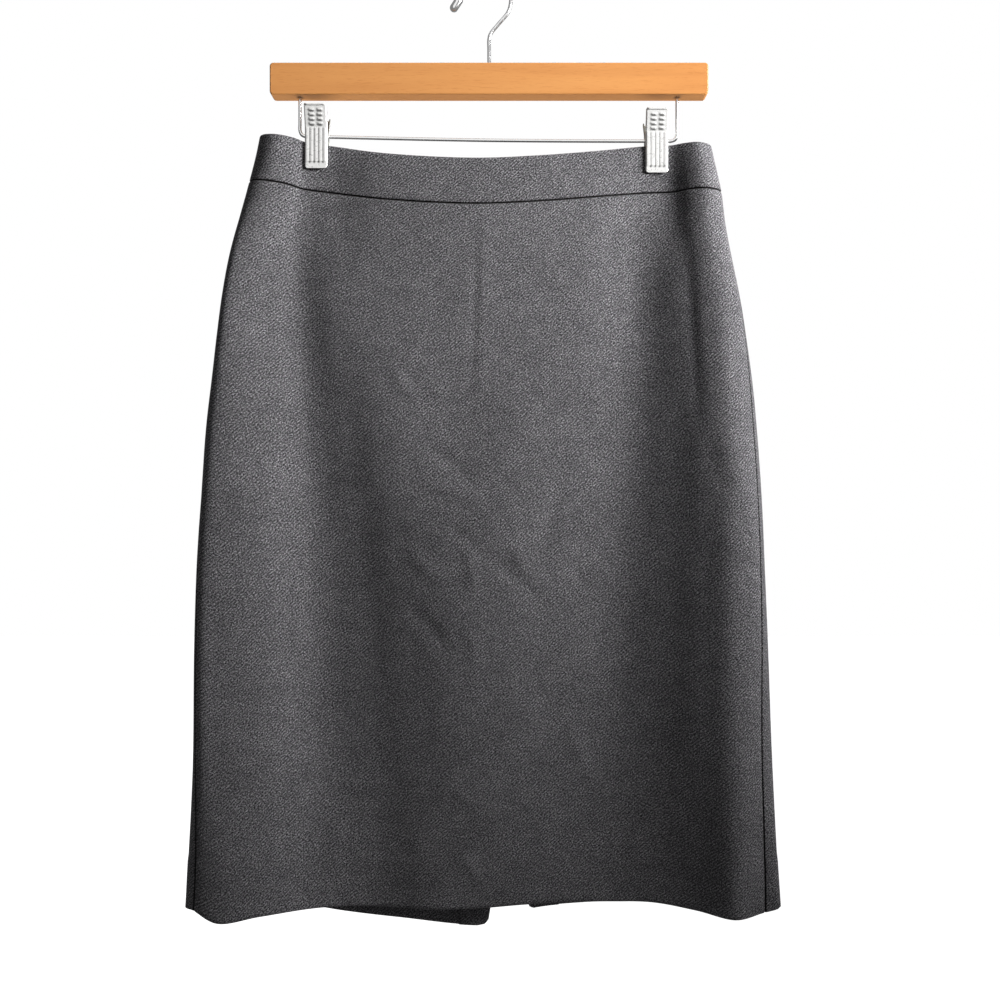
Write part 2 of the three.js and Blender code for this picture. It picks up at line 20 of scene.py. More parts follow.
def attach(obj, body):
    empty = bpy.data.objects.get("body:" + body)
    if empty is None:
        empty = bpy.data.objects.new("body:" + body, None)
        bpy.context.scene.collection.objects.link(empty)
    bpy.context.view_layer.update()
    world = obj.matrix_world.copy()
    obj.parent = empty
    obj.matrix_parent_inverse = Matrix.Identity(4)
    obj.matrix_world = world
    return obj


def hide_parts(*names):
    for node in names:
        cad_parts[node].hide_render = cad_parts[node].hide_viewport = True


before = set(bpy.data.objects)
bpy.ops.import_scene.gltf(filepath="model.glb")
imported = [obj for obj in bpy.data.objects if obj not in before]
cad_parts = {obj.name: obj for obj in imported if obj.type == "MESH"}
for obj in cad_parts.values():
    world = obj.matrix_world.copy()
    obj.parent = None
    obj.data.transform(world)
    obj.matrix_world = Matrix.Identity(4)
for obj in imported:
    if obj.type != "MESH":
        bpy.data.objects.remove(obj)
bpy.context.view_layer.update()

log = logging.getLogger("skirt")

MM = 0.001
BODY = "skirt_on_hanger"

BAND_HEIGHT = 38.3
SKIRT_LENGTH = 622.0
SEAM_GAP = 0.3
BAND_WALL = 2.8
ZIP_GAP = 1.6
ZIP_END_DROP = 190.0
VENT_LENGTH = 180.0

# How the cloth is turned at its edges, and how its hem and facings show on the face.
SEAM_CURL = 1.4
EDGE_RADIUS = 1.25
FACING_WIDTH = 24.0
FACING_RISE = 1.7
HEM_ALLOWANCE = 40.0
HEM_LIFT = 0.45

# Drop below the waist, and x of the skirt's left and right edge there.
OUTLINE = (
    (0, -187.0, 181.2),
    (16, -190.3, 184.8),
    (36, -195.2, 189.2),
    (66, -202.3, 192.6),
    (98, -209.4, 198.0),
    (131, -214.4, 204.3),
    (164, -217.9, 209.3),
    (200, -221.3, 214.0),
    (240, -225.3, 217.3),
    (290, -228.3, 220.2),
    (345, -232.0, 222.3),
    (415, -234.8, 225.2),
    (500, -237.0, 228.2),
    (576, -241.5, 231.9),
    (622, -244.2, 234.6),
)

# Drop, and how far the left and right side seam lie forward of the edge along the cloth.
SIDE_SEAMS = (
    (0, 0, 0),
    (70, 3, 4.5),
    (130, 7, 11),
    (180, 10.5, 13.3),
    (240, 16, 15.5),
    (309, 23.5, 20),
    (378, 27, 19.2),
    (438, 25.2, 18.2),
    (491, 21.8, 16.4),
    (540, 20.4, 13.9),
    (588, 17.5, 12.8),
    (622, 14, 13.3),
)

ACROSS_DROPS = (0, 330, 622)
DEPTH_DROPS = (0, 37, 115, 220, 330, 475, 622)

# Stations round the cloth: name, place across at three drops, y at seven drops, top z and hem z.
STATIONS = (
    ("centre_back", (0, 0.01, 0.085), (10, 10.3, 24, 26.5, 26, 25, 23), -157, -787),
    ("vent_left", (-0.04, -0.03, 0.015), (10, 10.3, 24, 26.5, 26, 25.5, 24), -157, -793.5),
    ("seat_left", (-0.38, -0.36, -0.3), (7.5, 9.5, 22, 27, 29, 29, 28), -154.5, -789),
    ("back_grip_left_in", (-0.665, -0.62, -0.5), (4.1, 4.2, 13, 18, 21, 23, 24), -149.5, -781.5),
    ("back_grip_left_out", (-0.793, -0.72, -0.62), (4.1, 4.2, 13, 18.5, 22, 25, 27), -146, -777.5),
    ("back_lobe_left", (-0.915, -0.87, -0.8), (10, 13, 19, 24, 28, 31.5, 34), -142, -771),
    ("back_turn_left", (-0.982, -0.97, -0.955), (6, 8.5, 12, 13.5, 14, 14, 14), -140.5, -767.5),
    ("edge_left", (-1, -1, -1), (0, 0, -2, -5, -8, -10, -12), -140, -765.6),
    ("turn_left", (-0.982, -0.975, -0.965), (-6, -8, -21.5, -32, -36.5, -33, -21), -140.3, -764.5),
    ("lobe_left", (-0.92, -0.9, -0.88), (-10.5, -12.5, -21.5, -34, -38, -33.5, -26), -141.5, -773),
    ("fall_left", (-0.84, -0.76, -0.74), (-7.5, -9.5, -15.5, -27.5, -31.5, -27, -22.5), -143.5, -769),
    ("grip_left_out", (-0.793, -0.6, -0.55), (-4.1, -4.2, -10.5, -16.5, -16.5, -10, -5.5), -146, -768.5),
    ("grip_left_in", (-0.665, -0.45, -0.36), (-4.1, -4.2, -14.5, -19.5, -17.5, -9.5, 0), -149.5, -769.5),
    ("rise_left", (-0.45, -0.31, -0.17), (-8, -11, -17.5, -24.5, -23, -14, -4.5), -156, -770.5),
    ("belly", (-0.05, -0.13, -0.02), (-11, -15, -18.5, -23.5, -27.5, -17, -3.5), -160.8, -770),
    ("belly_right", (0.25, 0.07, 0.14), (-10.5, -14, -16.5, -23.5, -27, -15.5, -2), -158.5, -767.5),
    ("slope_right", (0.52, 0.26, 0.3), (-7, -9.5, -14, -18.5, -21, -11.5, -0.5), -153.5, -766),
    ("grip_right_in", (0.69, 0.49, 0.45), (-4.1, -4.2, -8, -13.5, -14.5, -10, 0), -149.5, -765.5),
    ("grip_right_out", (0.817, 0.64, 0.58), (-4.1, -4.2, -15.5, -21.5, -21.5, -15.5, -2.5), -148.5, -765.5),
    ("rise_right", (0.87, 0.77, 0.72), (-8, -11, -21.5, -30, -31.5, -26, -9), -148, -769.5),
    ("lobe_right", (0.93, 0.87, 0.84), (-11, -14, -24, -32.5, -37, -32.5, -23), -148, -771.5),
    ("turn_right", (0.982, 0.96, 0.94), (-6.5, -8.5, -19, -21.5, -29.5, -24.5, -14), -148, -769.5),
    ("edge_right", (1, 1, 1), (0, -1, -3, -6, -9, -11, -12), -148, -765.8),
    ("back_turn_right", (0.982, 0.97, 0.955), (6, 8.5, 12, 13, 13, 12.5, 12), -148, -767),
    ("back_lobe_right", (0.92, 0.87, 0.8), (10, 13, 19, 24, 28, 30.5, 32), -148.5, -768.5),
    ("back_grip_right_out", (0.817, 0.74, 0.64), (4.1, 4.2, 13, 18, 21, 23.5, 25), -149, -771),
    ("back_grip_right_in", (0.69, 0.64, 0.54), (4.1, 4.2, 13, 17.5, 20, 21.5, 22), -150, -773),
    ("seat_right", (0.4, 0.38, 0.36), (7.5, 9.5, 22, 26.5, 28, 27.5, 26), -154, -775.5),
    ("vent_right", (0.04, 0.05, 0.162), (10, 10.3, 24, 26.5, 26, 25, 23), -157, -779.5),
)
PLACE = {row[0]: i / len(STATIONS) for i, row in enumerate(STATIONS)}


class Side(Enum):
    """The side of the skirt, as the viewer of its front sees it."""

    LEFT = "left"
    RIGHT = "right"


def smooth_along(places: Sequence[float], values: Sequence[float], place: float) -> float:
    """Read a smooth value between the rows of a table.

    Args:
        places: Where the rows stand, rising.
        values: The value in each row.
        place: Where to read.

    Returns:
        The value of the cubic through the neighbouring rows.
    """
    last = len(places) - 1
    inside = min(max(place, places[0]), places[last])
    row = 0
    while row < last - 1 and inside > places[row + 1]:
        row += 1
    span = places[row + 1] - places[row]

    def slope(i: int) -> float:
        before, after = max(i - 1, 0), min(i + 1, last)
        return (values[after] - values[before]) / (places[after] - places[before]) * span

    t = (inside - places[row]) / span
    rise = values[row + 1] - values[row]
    leave, arrive = slope(row), slope(row + 1)
    curve = 3 * rise - 2 * leave - arrive + t * (leave + arrive - 2 * rise)
    return values[row] + t * (leave + t * curve)


def column(table: Sequence[Sequence[float]], index: int, drop: float) -> float:
    """Read one column of a table by drop, smoothly."""
    return smooth_along([row[0] for row in table], [row[index] for row in table], drop)


def fade(value: Any, start: float, end: float) -> Any:
    """Rise smoothly from 0 at start to 1 at end."""
    t = np.clip((value - start) / (end - start), 0.0, 1.0)
    return t * t * (3.0 - 2.0 * t)


def cubic_terms(p0: Any, p1: Any, p2: Any, p3: Any) -> tuple[np.ndarray, ...]:
    """Return the terms of the smooth cubics from p1 to p2.

    Args:
        p0: The points before.
        p1: The points that the cubics leave.
        p2: The points that they reach.
        p3: The points after.

    Returns:
        Terms a to d of a + w * (b + w * (c + w * d)), with w from 0 to 1.
    """
    d0, d1, d2 = (
        np.sqrt(np.linalg.norm(end - start, axis=-1, keepdims=True))
        for start, end in ((p0, p1), (p1, p2), (p2, p3))
    )
    leave = ((p1 - p0) / d0 - (p2 - p0) / (d0 + d1) + (p2 - p1) / d1) * d1
    arrive = ((p2 - p1) / d1 - (p3 - p1) / (d1 + d2) + (p3 - p2) / d2) * d1
    return p1, leave, 3 * (p2 - p1) - 2 * leave - arrive, 2 * (p1 - p2) + leave + arrive


class Ring:
    """The closed line round the cloth's outer face at one drop, in millimetres.

    A place on it runs from 0 at the centre back to 1 there again, an equal share between each
    two stations.
    """

    def __init__(self, drop: float) -> None:
        """Draw the line through the stations at this drop."""
        self.drop = drop
        left, right = column(OUTLINE, 1, drop), column(OUTLINE, 2, drop)
        below = (drop - BAND_HEIGHT) / (SKIRT_LENGTH - BAND_HEIGHT)
        points = []
        for _, across, depth, top, hem in STATIONS:
            seam = top - BAND_HEIGHT
            height = top - drop if drop < BAND_HEIGHT else seam + (hem - seam) * below
            x = (left + right) / 2 + smooth_along(ACROSS_DROPS, across, drop) * (right - left) / 2
            points.append((x, smooth_along(DEPTH_DROPS, depth, drop), height))
        p1 = np.array(points, float)
        self.cubic = cubic_terms(np.roll(p1, 1, 0), p1, np.roll(p1, -1, 0), np.roll(p1, -2, 0))

    def at(self, places: np.ndarray) -> np.ndarray:
        """Return the points at these places, one row each."""
        along = np.atleast_1d(places) % 1.0 * len(STATIONS)
        i = np.floor(along).astype(int) % len(STATIONS)
        w = (along - np.floor(along))[:, None]
        a, b, c, d = (term[i] for term in self.cubic)
        return a + w * (b + w * (c + w * d))

    def tangent(self, places: np.ndarray) -> np.ndarray:
        """Return the travel per unit of place at these places."""
        step = 0.0005
        spots = np.atleast_1d(places)
        return (self.at(spots + step) - self.at(spots - step)) / (2 * step)

    def shifted(self, place: float, distance: float) -> float:
        """Return the place a short distance further round."""
        return place + distance / float(np.linalg.norm(self.tangent(np.array([place]))))

    def travelled(self, place: float, distance: float) -> float:
        """Return the place a longer distance further round, walked in short steps."""
        steps = 24
        for _ in range(steps):
            place = self.shifted(place, distance / steps)
        return place

    def outward(self, places: np.ndarray) -> np.ndarray:
        """Return the level directions that point away from the wearer."""
        along = self.tangent(places)
        out = np.stack((along[:, 1], -along[:, 0], np.zeros(len(along))), axis=1)
        return out / np.linalg.norm(out, axis=1)[:, None]

    def side_seam(self, side: Side) -> float:
        """Return the place of a side seam."""
        left = side is Side.LEFT
        forward = column(SIDE_SEAMS, 1 if left else 2, self.drop)
        return self.travelled(PLACE[f"edge_{side.value}"], forward if left else -forward)

    def back_edge(self, side: Side) -> float:
        """Return the place of a back panel's edge: zip and seam above, then the spreading vent."""
        half_gap = (ZIP_GAP if self.drop <= ZIP_END_DROP else SEAM_GAP) / 2
        left = side is Side.LEFT
        closed = self.shifted(0.0 if left else 1.0, half_gap if left else -half_gap)
        opened = PLACE[f"vent_{side.value}"]
        spread = min(max((self.drop - SKIRT_LENGTH + VENT_LENGTH) / VENT_LENGTH, 0.0), 1.0) ** 1.4
        return closed + (opened - closed) * spread


def grey(level: float) -> tuple[float, float, float]:
    """Return a neutral colour of this level."""
    return (level, level, level)


class Board:
    """Adds and links the shader nodes of one material."""

    def __init__(self, name: str) -> None:
        """Start a material with its surface shader."""
        self.material = bpy.data.materials.new(name)
        self.material.use_nodes = True
        self.tree = self.material.node_tree
        self.surface = self.tree.nodes["Principled BSDF"]

    def put(self, target: bpy.types.NodeSocket, value: Any) -> None:
        """Set a socket to a constant, or link it to another node's socket."""
        if isinstance(value, bpy.types.NodeSocket):
            self.tree.links.new(value, target)
        else:
            target.default_value = value

    def add(self, kind: str, settings: dict[str, Any], **sockets: Any) -> bpy.types.Node:
        """Add a node.

        Args:
            kind: The node's type, without the "ShaderNode" in front.
            settings: Its properties by name.
            **sockets: Its inputs by name, with "_" for a space.

        Returns:
            The new node.
        """
        node = self.tree.nodes.new(f"ShaderNode{kind}")
        for key, value in settings.items():
            setattr(node, key, value)
        for key, value in sockets.items():
            self.put(node.inputs[key.replace("_", " ")], value)
        return node

    def math(self, operation: str, *values: Any) -> bpy.types.NodeSocket:
        """Return the result of one arithmetic step."""
        node = self.add("Math", {"operation": operation})
        for target, value in zip(node.inputs, values):
            self.put(target, value)
        return node.outputs[0]

    def uv(self, layer: str) -> bpy.types.NodeSocket:
        """Return the piece's own flat coordinates, in metres of cloth."""
        return self.add("UVMap", {"uv_map": layer}).outputs["UV"]

    def place(self) -> bpy.types.NodeSocket:
        """Return the object's coordinates."""
        return self.add("TexCoord", {}).outputs["Object"]

    def turned(self, vector: Any, turn: float, scale: Sequence[float]) -> bpy.types.NodeSocket:
        """Return coordinates turned in their plane, then stretched."""
        node = self.add("Mapping", {"vector_type": "POINT"}, Vector=vector)
        node.inputs["Rotation"].default_value = (0.0, 0.0, turn)
        stretch = self.add("VectorMath", {"operation": "MULTIPLY"})
        self.put(stretch.inputs[0], node.outputs[0])
        stretch.inputs[1].default_value = tuple(scale)
        return stretch.outputs[0]

    def noise(self, vector: Any, scale: float, detail: float = 2.0, rough: float = 0.5) -> Any:
        """Return a noise value about 0.5."""
        return self.add(
            "TexNoise", {}, Vector=vector, Scale=scale, Detail=detail, Roughness=rough
        ).outputs[0]

    def ramp(self, factor: Any, stops: Sequence[tuple[float, Sequence[float]]]) -> Any:
        """Return a colour read along a row of stops."""
        node = self.add("ValToRGB", {}, Fac=factor)
        band = node.color_ramp
        while len(band.elements) < len(stops):
            band.elements.new(0.5)
        for element, (position, colour) in zip(band.elements, stops):
            element.position = position
            element.color = (*colour, 1.0)
        return node.outputs[0]

    def blend(self, kind: str, factor: Any, first: Any, second: Any) -> Any:
        """Return two colours mixed in the named way."""
        node = self.add("MixRGB", {"blend_type": kind}, Fac=factor)
        self.put(node.inputs[1], first)
        self.put(node.inputs[2], second)
        return node.outputs[0]

    def bump(self, height: Any, strength: float, distance: float) -> None:
        """Press a height into the surface's shading."""
        node = self.add("Bump", {}, Height=height, Strength=strength, Distance=distance)
        self.put(self.surface.inputs["Normal"], node.outputs[0])

    def finish(self, **sockets: Any) -> bpy.types.Material:
        """Set the surface shader's inputs and return the material."""
        for key, value in sockets.items():
            self.put(self.surface.inputs[key.replace("_", " ")], value)
        return self.material


@dataclass(frozen=True)
class WoolTwill:
    """Heather grey wool twill: fine diagonal ribs, broken up by light and dark fibres, with painted shade
    in its seams.

    Attributes:
        rib: Distance between ribs, in metres.
        angle: Their slope across the piece.
        fleck: Size of the mottle's flecks, in metres.
        darkest: Colour of the darkest fibres, with middle and lightest above it.
    """

    name: str = "wool_twill"
    rib: float = 0.0021
    angle: float = math.radians(-42)
    fleck: float = 0.00122
    darkest: tuple[float, float, float] = (0.004, 0.0035, 0.0045)
    middle: tuple[float, float, float] = (0.106, 0.1035, 0.110)
    lightest: tuple[float, float, float] = (0.66, 0.645, 0.67)

    def material(self) -> bpy.types.Material:
        """Return the cloth's material, laid out on the flat coordinates of each piece."""
        board = Board(self.name)
        flat = board.uv("weave")
        straight = board.turned(flat, self.angle, (1.0, 1.0, 1.0))
        parts = board.add("SeparateXYZ", {}, Vector=straight)
        wander = board.math("MULTIPLY", board.noise(flat, 260.0, 2.0), 2.6)
        phase = board.math("MULTIPLY", parts.outputs[1], 2 * math.pi / self.rib)
        rib = board.math("SINE", board.math("ADD", phase, wander))
        stretched = board.turned(flat, self.angle, (0.78, 1.15, 1.0))
        strokes = board.math("MULTIPLY", board.noise(stretched, 1 / self.fleck, 3.0, 0.68), 0.42)
        specks = board.math("MULTIPLY", board.noise(flat, 1.25 / self.fleck, 3.0, 0.72), 0.58)
        fuzz = board.math("ADD", strokes, specks)
        weave = board.math("ADD", fuzz, board.math("MULTIPLY", rib, 0.022))
        stops = ((0.393, self.darkest), (0.5, self.middle), (0.637, self.lightest))
        colour = board.ramp(weave, stops)
        cloud = board.noise(flat, 95.0, 4.0, 0.62)
        patches = board.noise(flat, 28.0, 3.0, 0.6)
        dye = board.noise(flat, 330.0, 2.0, 0.5)
        # Painted shade: the cloth darkens to near black where it lies deep in a sewn seam or in the turn
        # under the waist seam.
        recess = board.add("SeparateXYZ", {}, Vector=board.uv("recess")).outputs[0]
        for value, shades in (
            (cloud, ((0.34, (0.76, 0.76, 0.77)), (0.66, grey(1.0)))),
            (patches, ((0.36, grey(0.9)), (0.62, grey(1.03)))),
            (dye, ((0.4, (0.98, 1.0, 0.98)), (0.6, (1.0, 0.975, 1.0)))),
            (recess, ((0.03, grey(1.0)), (0.45, (0.04, 0.037, 0.04)))),
        ):
            colour = board.blend("MULTIPLY", 1.0, colour, board.ramp(value, shades))
        height = board.math("ADD", board.math("MULTIPLY", rib, 0.06), fuzz)
        board.bump(height, 0.45, 0.0004)
        return board.finish(
            Base_Color=colour,
            Roughness=0.93,
            Specular_IOR_Level=0.12,
            Sheen_Weight=0.12,
            Sheen_Roughness=0.45,
        )


@dataclass(frozen=True)
class Beech:
    """Honey coloured beech under satin varnish, with short flecks along the grain and painted shade in the
    rail's holes.

    Attributes:
        sockets: x of the two holes for the clip rail.
        underside: z of the bar's underside, where the holes are.
    """

    name: str = "varnished_beech"
    sockets: tuple[float, float] = (-154.5, 153.5)
    underside: float = -108.6

    def material(self) -> bpy.types.Material:
        """Return the bar's material, with its grain along the bar."""
        board = Board(self.name)
        place = board.place()
        figure = board.noise(board.turned(place, 0.0, (2.2, 9.0, 34.0)), 1.0, 4.0, 0.55)
        dark, middle, light = (0.60, 0.235, 0.062), (0.72, 0.310, 0.088), (0.80, 0.375, 0.118)
        colour = board.ramp(figure, ((0.30, dark), (0.50, middle), (0.72, light)))
        flecks = board.noise(board.turned(place, 0.0, (110.0, 600.0, 1400.0)), 1.0, 2.0, 0.6)
        fleck = board.ramp(flecks, ((0.56, grey(1.0)), (0.72, (0.80, 0.66, 0.52))))
        colour = board.blend("MULTIPLY", 0.55, colour, fleck)
        # Painted shade: each hole for the rail darkens to near black at its middle, fading out by 3.6 mm.
        for x in self.sockets:
            away = board.add("VectorMath", {"operation": "DISTANCE"})
            board.put(away.inputs[0], place)
            away.inputs[1].default_value = (x * MM, 0.0, self.underside * MM)
            shades = ((0.0018, (0.06, 0.03, 0.015)), (0.0036, grey(1.0)))
            hole_shade = board.ramp(away.outputs["Value"], shades)
            colour = board.blend("MULTIPLY", 1.0, colour, hole_shade)
        pores = board.noise(board.turned(place, 0.0, (160.0, 900.0, 2600.0)), 1.0, 2.0, 0.5)
        board.bump(pores, 0.12, 0.0002)
        rough = board.ramp(figure, ((0.3, grey(0.42)), (0.7, grey(0.34))))
        return board.finish(
            Base_Color=colour,
            Roughness=rough,
            Specular_IOR_Level=0.3,
            Coat_Weight=0.08,
            Coat_Roughness=0.3,
        )


@dataclass(frozen=True)
class BrightMetal:
    """Plated steel: polished wire, or pressed sheet with a slightly dull skin.

    Attributes:
        colour: The plating's colour where it isn't rubbed.
        roughness: Its roughness, and blemish how much the rubbed places add to it.
        metallic: How far it mirrors as metal does.
        pressed: True on a pressing, which carries its own shadows as a UV map.
    """

    name: str
    colour: tuple[float, float, float] = (0.82, 0.82, 0.82)
    roughness: float = 0.12
    blemish: float = 0.10
    metallic: float = 1.0
    pressed: bool = False

    def material(self) -> bpy.types.Material:
        """Return the plating's material, with faint rubbing marks."""
        board = Board(self.name)
        rubbed = board.noise(board.place(), 380.0, 4.0, 0.6)
        low, high = self.roughness, self.roughness + self.blemish
        rough = board.ramp(rubbed, ((0.35, grey(low)), (0.7, grey(high))))
        worn = tuple(0.9 * part for part in self.colour)
        colour = board.ramp(rubbed, ((0.3, worn), (0.65, self.colour)))
        if self.pressed:
            shadow = board.add("SeparateXYZ", {}, Vector=board.uv("recess")).outputs[0]
            shade = board.ramp(shadow, ((0.0, grey(1.0)), (1.0, grey(0.03))))
            colour = board.blend("MULTIPLY", 1.0, colour, shade)
        board.bump(board.noise(board.place(), 900.0, 2.0), 0.04, 0.0001)
        return board.finish(Base_Color=colour, Metallic=self.metallic, Roughness=rough)


@dataclass(frozen=True)
class ZipTapeWeave:
    """Plain woven polyester tape, near black."""

    name: str = "zip_tape"
    thread: float = 0.0006

    def material(self) -> bpy.types.Material:
        """Return the tape's material, with a fine crossed weave."""
        board = Board(self.name)
        flat = board.add("SeparateXYZ", {}, Vector=board.uv("weave"))
        turn = 2 * math.pi / self.thread
        warp = board.math("SINE", board.math("MULTIPLY", flat.outputs[0], turn))
        weft = board.math("SINE", board.math("MULTIPLY", flat.outputs[1], turn))
        crossed = board.math("MULTIPLY", warp, weft)
        level = board.math("MULTIPLY_ADD", crossed, 0.5, 0.5)
        colour = board.ramp(level, ((0.0, (0.018, 0.018, 0.021)), (1.0, (0.045, 0.044, 0.05))))
        board.bump(level, 0.3, 0.0002)
        return board.finish(Base_Color=colour, Roughness=0.85, Sheen_Weight=0.1)


@dataclass(frozen=True)
class DarkEnamel:
    """Half gloss grey enamel on the zip's metal and coil, rubbed brighter in places."""

    name: str = "zip_enamel"

    def material(self) -> bpy.types.Material:
        """Return the enamel's material."""
        board = Board(self.name)
        rubbed = board.noise(board.place(), 700.0, 4.0, 0.65)
        colour = board.ramp(rubbed, ((0.45, (0.055, 0.054, 0.058)), (0.8, (0.16, 0.16, 0.165))))
        rough = board.ramp(rubbed, ((0.4, grey(0.34)), (0.8, grey(0.5))))
        return board.finish(Base_Color=colour, Metallic=0.55, Roughness=rough)


@dataclass(frozen=True)
class StudioPaper:
    """Seamless white background paper, evenly lit."""

    name: str = "studio_paper"

    def material(self) -> bpy.types.Material:
        """Return the paper's material, near white with a faint tooth."""
        board = Board(self.name)
        tooth = board.noise(board.place(), 40.0, 3.0)
        colour = board.ramp(tooth, ((0.3, grey(0.93)), (0.7, grey(0.96))))
        board.put(board.surface.inputs["Emission Color"], (1.0, 1.0, 1.0, 1.0))
        return board.finish(Base_Color=colour, Roughness=0.9, Emission_Strength=1.0)


def object_of(name: str, bm: bmesh.types.BMesh, *materials: bpy.types.Material) -> bpy.types.Object:
    """Turn a bmesh in metres into a smooth-shaded object.

    Args:
        name: The piece's name.
        bm: Its shape, which is freed.
        *materials: Its material slots in order.

    Returns:
        The object, at the origin.
    """
    mesh = bpy.data.meshes.new(name)
    for face in bm.faces:
        face.smooth = True
    bm.to_mesh(mesh)
    bm.free()
    for material in materials:
        mesh.materials.append(material)
    made = bpy.data.objects.new(name, mesh)
    bpy.context.scene.collection.objects.link(made)
    return made


def declare(piece: bpy.types.Object, node: str = "") -> None:
    """Fix a piece to the skirt's body, and hide the solid that it stands for.

    Args:
        piece: The piece.
        node: The solid that it stands for, where there is one.
    """
    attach(piece, BODY)
    if node:
        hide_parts(node)
    log.info("%s: %d faces", piece.name, len(piece.data.polygons))


def give_wall(piece: bpy.types.Object, thickness: float) -> None:
    """Thicken cloth inwards from its face, by metres."""
    wall = piece.modifiers.new("wall", "SOLIDIFY")
    wall.thickness = thickness
    wall.offset = -1.0


def refinish(node: str, material: bpy.types.Material) -> None:
    """Give a solid that shows as it is its finish."""
    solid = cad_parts[node]
    solid.data.materials.clear()
    solid.data.materials.append(material)
    log.info("%s: finished", node)


def shaped_grid(points: np.ndarray, **layers: np.ndarray) -> bmesh.types.BMesh:
    """Lay a grid over a table of points, its face towards the viewer who sees the rows go down.

    Args:
        points: Rows by columns by x, y, z in millimetres.
        **layers: UV maps by name, each rows by columns by u, v.

    Returns:
        The grid in metres.
    """
    rows, columns = points.shape[:2]
    bm = bmesh.new()
    bmesh.ops.create_grid(bm, x_segments=columns - 1, y_segments=rows - 1, size=1.0)
    index: dict[int, tuple[int, int]] = {}
    bm.verts.index_update()
    for vert in bm.verts:
        i = round((1.0 - vert.co.y) / 2.0 * (rows - 1))
        j = round((vert.co.x + 1.0) / 2.0 * (columns - 1))
        index[vert.index] = (i, j)
        vert.co = points[i, j] * MM
    for name, values in layers.items():
        layer = bm.loops.layers.uv.new(name)
        for face in bm.faces:
            for loop in face.loops:
                loop[layer].uv = values[index[loop.vert.index]]
    return bm


def tube(path: np.ndarray, radius: Any, sides: int, across: Any) -> bmesh.types.BMesh:
    """Draw a round wire along a path.

    Args:
        path: Points in millimetres, one a row.
        radius: The wire's radius, one or one for each point.
        sides: Facets round the wire.
        across: A direction that is never along the path, one or one for each point.

    Returns:
        The wire in metres, with closed ends.
    """
    along = np.gradient(path, axis=0)
    along /= np.linalg.norm(along, axis=1)[:, None]
    side = np.cross(along, np.broadcast_to(across, along.shape))
    side /= np.linalg.norm(side, axis=1)[:, None]
    other = np.cross(side, along)
    turn = np.linspace(0.0, 2 * math.pi, sides + 1)
    reach = np.broadcast_to(np.asarray(radius, float), len(path))[:, None, None]
    cosine, sine = np.cos(turn)[None, :, None], np.sin(turn)[None, :, None]
    bm = shaped_grid(path[:, None] + reach * (side[:, None] * cosine + other[:, None] * sine))
    bmesh.ops.remove_doubles(bm, verts=bm.verts, dist=1e-7)
    bmesh.ops.holes_fill(bm, edges=[edge for edge in bm.edges if edge.is_boundary], sides=0)
    bmesh.ops.recalc_face_normals(bm, faces=bm.faces)
    return bm


def joined(*parts: bmesh.types.BMesh) -> bmesh.types.BMesh:
    """Put several shapes into one bmesh and free them."""
    whole = bmesh.new()
    for part in parts:
        keep = bpy.data.meshes.new("part")
        part.to_mesh(keep)
        part.free()
        whole.from_mesh(keep)
        bpy.data.meshes.remove(keep)
    return whole


def smooth_path(keys: Sequence[Sequence[float]], steps: int) -> np.ndarray:
    """Run a smooth line through key points in the front plane.

    Args:
        keys: The x and z of each key point, in millimetres.
        steps: Points from one key to the next.

    Returns:
        The line's points.
    """
    flat = np.array([(x, 0.0, z) for x, z in keys], float)
    held = np.vstack((2 * flat[0] - flat[1], flat, 2 * flat[-1] - flat[-2]))
    terms = cubic_terms(held[:-3], held[1:-2], held[2:-1], held[3:])
    a, b, c, d = (term[:, None] for term in terms)
    w = (np.arange(steps) / steps)[:, None]
    return np.vstack(((a + w * (b + w * (c + w * d))).reshape(-1, 3), flat[-1]))


@dataclass(frozen=True)
class Crease:
    """A soft trough or ridge.

    Attributes:
        line: Its x and z at a few points, in millimetres.
        width: Its half width.
        rise: How far it stands out, or sinks where negative.
    """

    line: tuple[tuple[float, float], ...]
    width: float
    rise: float

    def height(self, x: np.ndarray, z: np.ndarray) -> np.ndarray:
        """Return the crease's height at these points, faded out at both of its ends."""
        nearest = np.full(x.shape, 1e9)
        share = np.zeros(x.shape)
        count = len(self.line) - 1
        for k, ((ax, az), (bx, bz)) in enumerate(zip(self.line, self.line[1:])):
            length = (bx - ax) ** 2 + (bz - az) ** 2
            t = np.clip(((x - ax) * (bx - ax) + (z - az) * (bz - az)) / length, 0.0, 1.0)
            away = np.hypot(x - ax - t * (bx - ax), z - az - t * (bz - az))
            closer = away < nearest
            nearest = np.where(closer, away, nearest)
            share = np.where(closer, (k + t) / count, share)
        ends = np.sin(np.pi * np.clip(share, 0.02, 0.98)) ** 0.7
        return self.rise * np.exp(-((nearest / self.width) ** 2)) * ends


